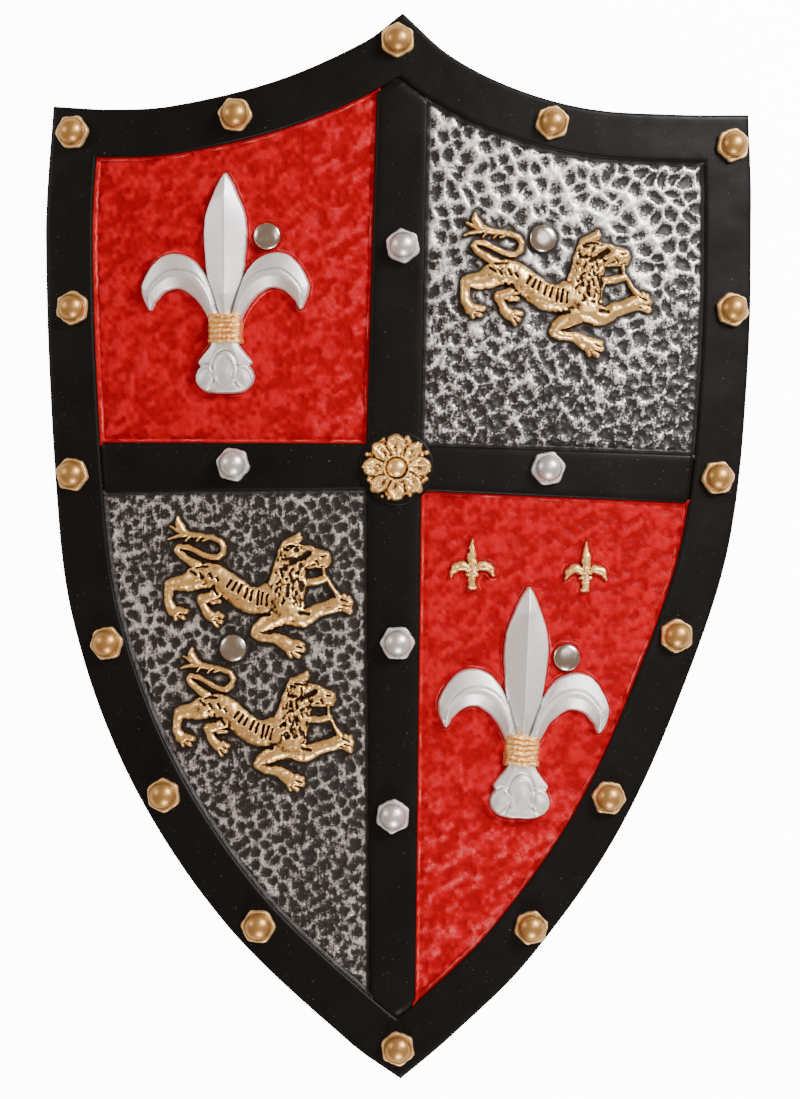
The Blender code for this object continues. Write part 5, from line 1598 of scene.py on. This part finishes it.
def red_paint():
    """Bright satin red, with painted shade that makes it darker and browner in the hollows, at the foot of
    each figure and along the walls, and with painted glints: soft pinkish streaks on the crests.

    A thin lip of paint and flash runs round each figure and along the walls, bumped and coloured pale red as
    a painted highlight.
    """
    made, tree, shader = new_material("red_paint", 0.0, 0.04)
    high, inside, near = (mark_of(tree, mark) for mark in ("high", "inside", "near"))
    # Painted shade: the red is darker and browner where the hammering is low, mixed with a random cloudy
    # tone.
    cloud = noise(tree, 0.014, 4.0)
    crests = math_node(tree, "MULTIPLY", high, 0.85)
    level = math_node(tree, "ADD", crests, math_node(tree, "MULTIPLY", cloud, 0.35))
    base = blend(tree, ramp(tree, level, 0.35, 0.85), (0.31, 0.0006, 0.0050), (0.50, 0.0012, 0.0090))
    # Painted glints: pinkish streaks on the crests, where the field's glint mark lets them show.
    dusty = mark_of(tree, "dusty")
    crest = dry_brushed(tree, high, 1.0, noise(tree, 0.0013, 3.0), 0.9, cloud, 0.15)
    glint_amount = math_node(tree, "MULTIPLY", ramp(tree, crest, 0.55, 1.15), dusty)
    pink = blend(tree, glint_amount, base, (0.64, 0.075, 0.085))
    # A thin lip runs round each figure and along the walls; it is bumped, and coloured pale red as a painted
    # highlight.
    wobble = math_node(tree, "MULTIPLY", math_node(tree, "SUBTRACT", noise(tree, 0.004, 2.0), 0.5), 0.0012)
    place = math_node(tree, "ADD", near, wobble)
    lip = math_node(tree, "MULTIPLY", ramp(tree, place, 0.0009, 0.0012), ramp(tree, place, 0.0017, 0.0013))
    wall_place = math_node(tree, "ADD", inside, wobble)
    rim = math_node(tree, "MULTIPLY", ramp(tree, wall_place, 0.0010, 0.0013),
                    ramp(tree, wall_place, 0.0020, 0.0015))
    line = math_node(tree, "MAXIMUM", lip, rim)
    faint = math_node(tree, "MULTIPLY", line, ramp(tree, noise(tree, 0.012, 2.0), 0.42, 0.75))
    # Painted shade: darker red at the foot of each figure and at the field's edge along the walls.
    foot = ramp(tree, near, 0.0001, 0.0008)
    lined = blend(tree, faint, pink, (0.80, 0.13, 0.11))
    lined = blend(tree, foot, (0.26, 0.0025, 0.0025), lined)
    edge = ramp(tree, inside, 0.0004, 0.0010)
    tree.links.new(blend(tree, edge, (0.28, 0.0030, 0.0030), lined), shader.inputs["Base Color"])
    shader.inputs["Roughness"].default_value = 0.30
    leather = math_node(tree, "ADD", noise(tree, 0.0013, 3.0), noise(tree, 0.0030, 2.0))
    bump(tree, shader, math_node(tree, "ADD", leather, math_node(tree, "MULTIPLY", line, 0.6)), 0.00032)
    return made


def silver_over_black(name, light, slant, brushed, low, top):
    """Silver dragged over black: bright on the ridges, grey between, black in the pits and round figures."""
    made, tree, shader = new_material(name, 0.0, 0.35)
    high, inside, near = (mark_of(tree, mark) for mark in ("high", "inside", "near"))
    streaks = noise(tree, 0.0011, 3.0, stretch=(1.0, 0.16, 1.0), turn=slant)
    stipple = noise(tree, 0.0011, 4.0)
    blots = noise(tree, 0.0080, 3.0)
    broad = noise(tree, 0.050, 2.0)
    grain = math_node(tree, "ADD", math_node(tree, "MULTIPLY", streaks, brushed),
                      math_node(tree, "MULTIPLY", stipple, 1.0 - brushed))
    clouds = math_node(tree, "MULTIPLY", math_node(tree, "ADD", blots, broad), 0.5)
    level = dry_brushed(tree, high, 0.85, grain, 2.3, clouds, 1.1)
    around = math_node(tree, "MULTIPLY", ramp(tree, inside, 0.0012, 0.0030),
                       ramp(tree, near, 0.0006, 0.0036))
    cover = math_node(tree, "MULTIPLY", ramp(tree, level, 0.34 - light, 0.62 - light), around)
    bright = ramp(tree, level, 0.48 - light, 0.95 - light)
    paint = blend(tree, bright, low, top)
    tree.links.new(blend(tree, cover, (0.014, 0.0115, 0.0105), paint), shader.inputs["Base Color"])
    tree.links.new(math_node(tree, "MULTIPLY", cover, 0.60), shader.inputs["Metallic"])
    vary_gloss(tree, shader, cover, 0.42, 0.32)
    bump(tree, shader, noise(tree, 0.0012, 4.0), 0.00022)
    return made


red = red_paint()
# The upper right field gets a lighter copy of the silver and the lower left a darker one, besides their own
# brush strokes: painted light and painted shade for the light from the upper right.
silver_painted_lit = silver_over_black("silver_painted_lit", 0.05, 0.9, 0.25, (0.36, 0.34, 0.33), (1.0, 0.99, 0.98))
silver_painted_shaded = silver_over_black("silver_painted_shaded", -0.07, 0.50, 0.40, (0.24, 0.215, 0.20), (0.74, 0.71, 0.69))
FINISHES = {"red_upper_left": red, "red_lower_right": red,
            "silver_upper_right": silver_painted_lit, "silver_lower_left": silver_painted_shaded}
for name, (side, level) in QUARTERS.items():
    field = field_piece(name, side, level, FINISHES[name])
    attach(field, "root")
    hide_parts("shield_body")

# The two straps on the back, for the hand and the forearm: flat black webbing held under the rear caps.
# They can't be seen in the photograph, which shows only the front caps of their rivets.
STRAP_WIDTH = 0.0250
STRAP_END = 0.0120
STRAP_SEAT = 0.0100
STRAP_FLOOR_GAP = 0.0030
STRAP_STEPS = 8
STRAP_CURVE_SHARE = 0.8
STRAP_STATIONS = 150
WEAVE_ALONG, WEAVE_ACROSS = 0.0018, 0.0014
STRAPS = {"hand_strap": ("upper_left", "upper_right"), "arm_strap": ("lower_left", "lower_right")}
# Its section with soft selvedges: share of the half width, and share of the half thickness
STRAP_SECTION = (
    (-1.0, 0.0), (-0.99, 0.6), (-0.95, 0.95), (-0.9, 0.82), (-0.86, 0.95), (-0.5, 0.98), (0.0, 1.0),
    (0.5, 0.98), (0.86, 0.95), (0.9, 0.82), (0.95, 0.95), (0.99, 0.6), (1.0, 0.0), (0.99, -0.6),
    (0.95, -0.95), (0.9, -0.82), (0.86, -0.95), (0.5, -0.98), (0.0, -1.0), (-0.5, -0.98), (-0.86, -0.95),
    (-0.9, -0.82), (-0.95, -0.95), (-0.99, -0.6),
)
STITCH_LENGTH = 0.0026
STITCH_RADIUS = 0.00032
STITCH_PITCH = 0.0034
STITCH_BOX = (0.0085, 0.0092)


def strap_line(left, right):
    """The middle line of a strap from end to end: over one rivet, away from the back, over the other."""
    drop = -TOUCH_GAP - STRAP_THICKNESS / 2
    lowest = STRAP_FLOOR_GAP + STRAP_THICKNESS / 2
    path = [bent(u, 0.0, drop) for u in (left[0] - STRAP_END, left[0], left[0] + STRAP_SEAT)]
    span = right[0] - left[0] - 2 * STRAP_SEAT
    start = path[-1]
    for step in range(1, STRAP_STEPS):
        share = step / STRAP_STEPS
        sag = math.sin(math.pi * share) ** STRAP_CURVE_SHARE
        path.append(np.array((start[0] + share * span, 0, start[2] + (lowest - start[2]) * sag)))
    path += [bent(u, 0.0, drop) for u in (right[0] - STRAP_SEAT, right[0], right[0] + STRAP_END)]
    path = np.array(path)
    path[:, 1] = left[1] + (right[1] - left[1]) * (path[:, 0] - left[0]) / (right[0] - left[0])
    return path


def webbing_material():
    """Woven black webbing: a fine basket weave across its own width and length."""
    made, tree, shader = new_material("webbing", 0.0)
    place = node(tree, "ShaderNodeUVMap", uv_map="weave").outputs["UV"]
    split = node(tree, "ShaderNodeSeparateXYZ", {"Vector": place}).outputs
    along = math_node(tree, "SINE", math_node(tree, "MULTIPLY", split["X"], 2 * math.pi / WEAVE_ALONG))
    across = math_node(tree, "SINE", math_node(tree, "MULTIPLY", split["Y"], 2 * math.pi / WEAVE_ACROSS))
    weave = math_node(tree, "MULTIPLY", along, across)
    tree.links.new(blend(tree, ramp(tree, weave, -1.0, 1.0), (0.007, 0.007, 0.0075), (0.026, 0.026, 0.028)),
                   shader.inputs["Base Color"])
    shader.inputs["Roughness"].default_value = 0.85
    bump(tree, shader, weave, 0.00012)
    return made


def strap_piece(name, left, right, finish):
    """A strap: its section carried along its line, with a map of its own for the weave."""
    path = strap_line(left, right)
    smooth = smooth_run(path, 0.0008)
    along = lengths_along(smooth)
    targets = np.linspace(0, along[-1], STRAP_STATIONS)
    line = np.column_stack([np.interp(targets, along, smooth[:, axis]) for axis in range(3)])
    ahead = np.gradient(line, axis=0)
    away = np.column_stack([-ahead[:, 2], 0 * ahead[:, 1], ahead[:, 0]])
    away /= np.linalg.norm(away, axis=1)[:, None]
    section = np.array(STRAP_SECTION)
    points = line[:, None, :] + away[:, None, :] * section[None, :, 1:] * STRAP_THICKNESS / 2
    points[:, :, 1] += section[None, :, 0] * STRAP_WIDTH / 2
    count = len(section)
    faces = sheet_faces(STRAP_STATIONS, count, wrap_columns=True).tolist()
    faces += [list(range(count)), list(range((STRAP_STATIONS - 1) * count, STRAP_STATIONS * count))]
    mesh = mesh_of(name, points, faces)
    weave = mesh.uv_layers.new(name="weave")
    numbers = np.zeros(len(mesh.loops), np.int32)
    mesh.loops.foreach_get("vertex_index", numbers)
    flat = np.column_stack([targets[numbers // count], section[numbers % count, 0] * STRAP_WIDTH / 2])
    weave.data.foreach_set("uv", flat.astype(np.float32).ravel())
    return add_piece(name, mesh, finish), line, away


def stitch_tree():
    """Geometry nodes that lay one thread stitch, turned its own way, at every point of a mesh."""
    tree = bpy.data.node_groups.new("stitches_at_points", "GeometryNodeTree")
    open_socket(tree, "Geometry", "Geometry")
    open_socket(tree, "Length", "Float")
    open_socket(tree, "Radius", "Float")
    open_socket(tree, "Finish", "Material")
    open_socket(tree, "Geometry", "Geometry", way="OUTPUT")
    given = tree.nodes.new("NodeGroupInput").outputs
    ball = node(tree, "GeometryNodeMeshUVSphere", {"Segments": 8, "Rings": 5, "Radius": 1.0})
    half = math_node(tree, "MULTIPLY", given["Length"], 0.5)
    size = node(tree, "ShaderNodeCombineXYZ", {"X": half, "Y": given["Radius"], "Z": given["Radius"]})
    thread = node(tree, "GeometryNodeTransform", {
        "Geometry": ball.outputs["Mesh"], "Scale": size.outputs["Vector"]})
    turns = node(tree, "GeometryNodeInputNamedAttribute", {"Name": "turn"}, data_type="FLOAT_VECTOR")
    laid = node(tree, "GeometryNodeInstanceOnPoints", {
        "Points": given["Geometry"], "Instance": thread.outputs["Geometry"],
        "Rotation": turns.outputs["Attribute"]})
    return end_tree(tree, laid.outputs["Instances"], given["Finish"])


def stitches_piece(name, rivets, line, away, finish):
    """A box of stitches round each rivet, sewn through the strap's two layers on its outer face."""
    steps = lengths_along(line)
    reach_s, reach_t = STITCH_BOX
    spots = []
    for rivet in rivets:
        middle = np.interp(rivet[0], line[:, 0], steps)
        count = round(2 * reach_s / STITCH_PITCH)
        for k in range(count):
            s = -reach_s + (k + 0.5) * 2 * reach_s / count
            spots += [(middle + s, reach_t, 0.0), (middle + s, -reach_t, 0.0)]
        count = round(2 * reach_t / STITCH_PITCH)
        for k in range(count):
            t = -reach_t + (k + 0.5) * 2 * reach_t / count
            spots += [(middle + reach_s, t, math.pi / 2), (middle - reach_s, t, math.pi / 2)]
    points, turns = [], []
    for s, t, spin in spots:
        place = np.array([np.interp(s, steps, line[:, axis]) for axis in range(3)])
        out = np.array([np.interp(s, steps, away[:, axis]) for axis in range(3)])
        points.append(place - out * STRAP_THICKNESS / 2 * 0.98 + np.array((0, t, 0)))
        lean = Matrix.Rotation(math.atan2(out[0], out[2]), 4, "Y")
        turns.append((lean @ Matrix.Rotation(spin, 4, "Z")).to_euler())
    mesh = seats_of(name, points, turns)
    settings = {"Length": STITCH_LENGTH, "Radius": STITCH_RADIUS, "Finish": finish}
    return grown(name, mesh, stitch_tree(), settings, finish)


def thread_material():
    """Waxed black thread, a little greyer and glossier than the webbing it holds."""
    made, tree, shader = new_material("thread", 0.0)
    tree.links.new(blend(tree, noise(tree, 0.0008, 3.0), (0.022, 0.022, 0.023), (0.060, 0.058, 0.056)),
                   shader.inputs["Base Color"])
    shader.inputs["Roughness"].default_value = 0.55
    bump(tree, shader, noise(tree, 0.0004, 2.0), 0.00004)
    return made


web = webbing_material()
thread = thread_material()
for name, (left_side, right_side) in STRAPS.items():
    ends = (rivet_place(left_side), rivet_place(right_side))
    strap, line, away = strap_piece(name + "_webbing", *ends, web)
    stitches = stitches_piece(name + "_stitches", ends, line, away, thread)
    for made in (strap, stitches):
        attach(made, "root")
        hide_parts(name)
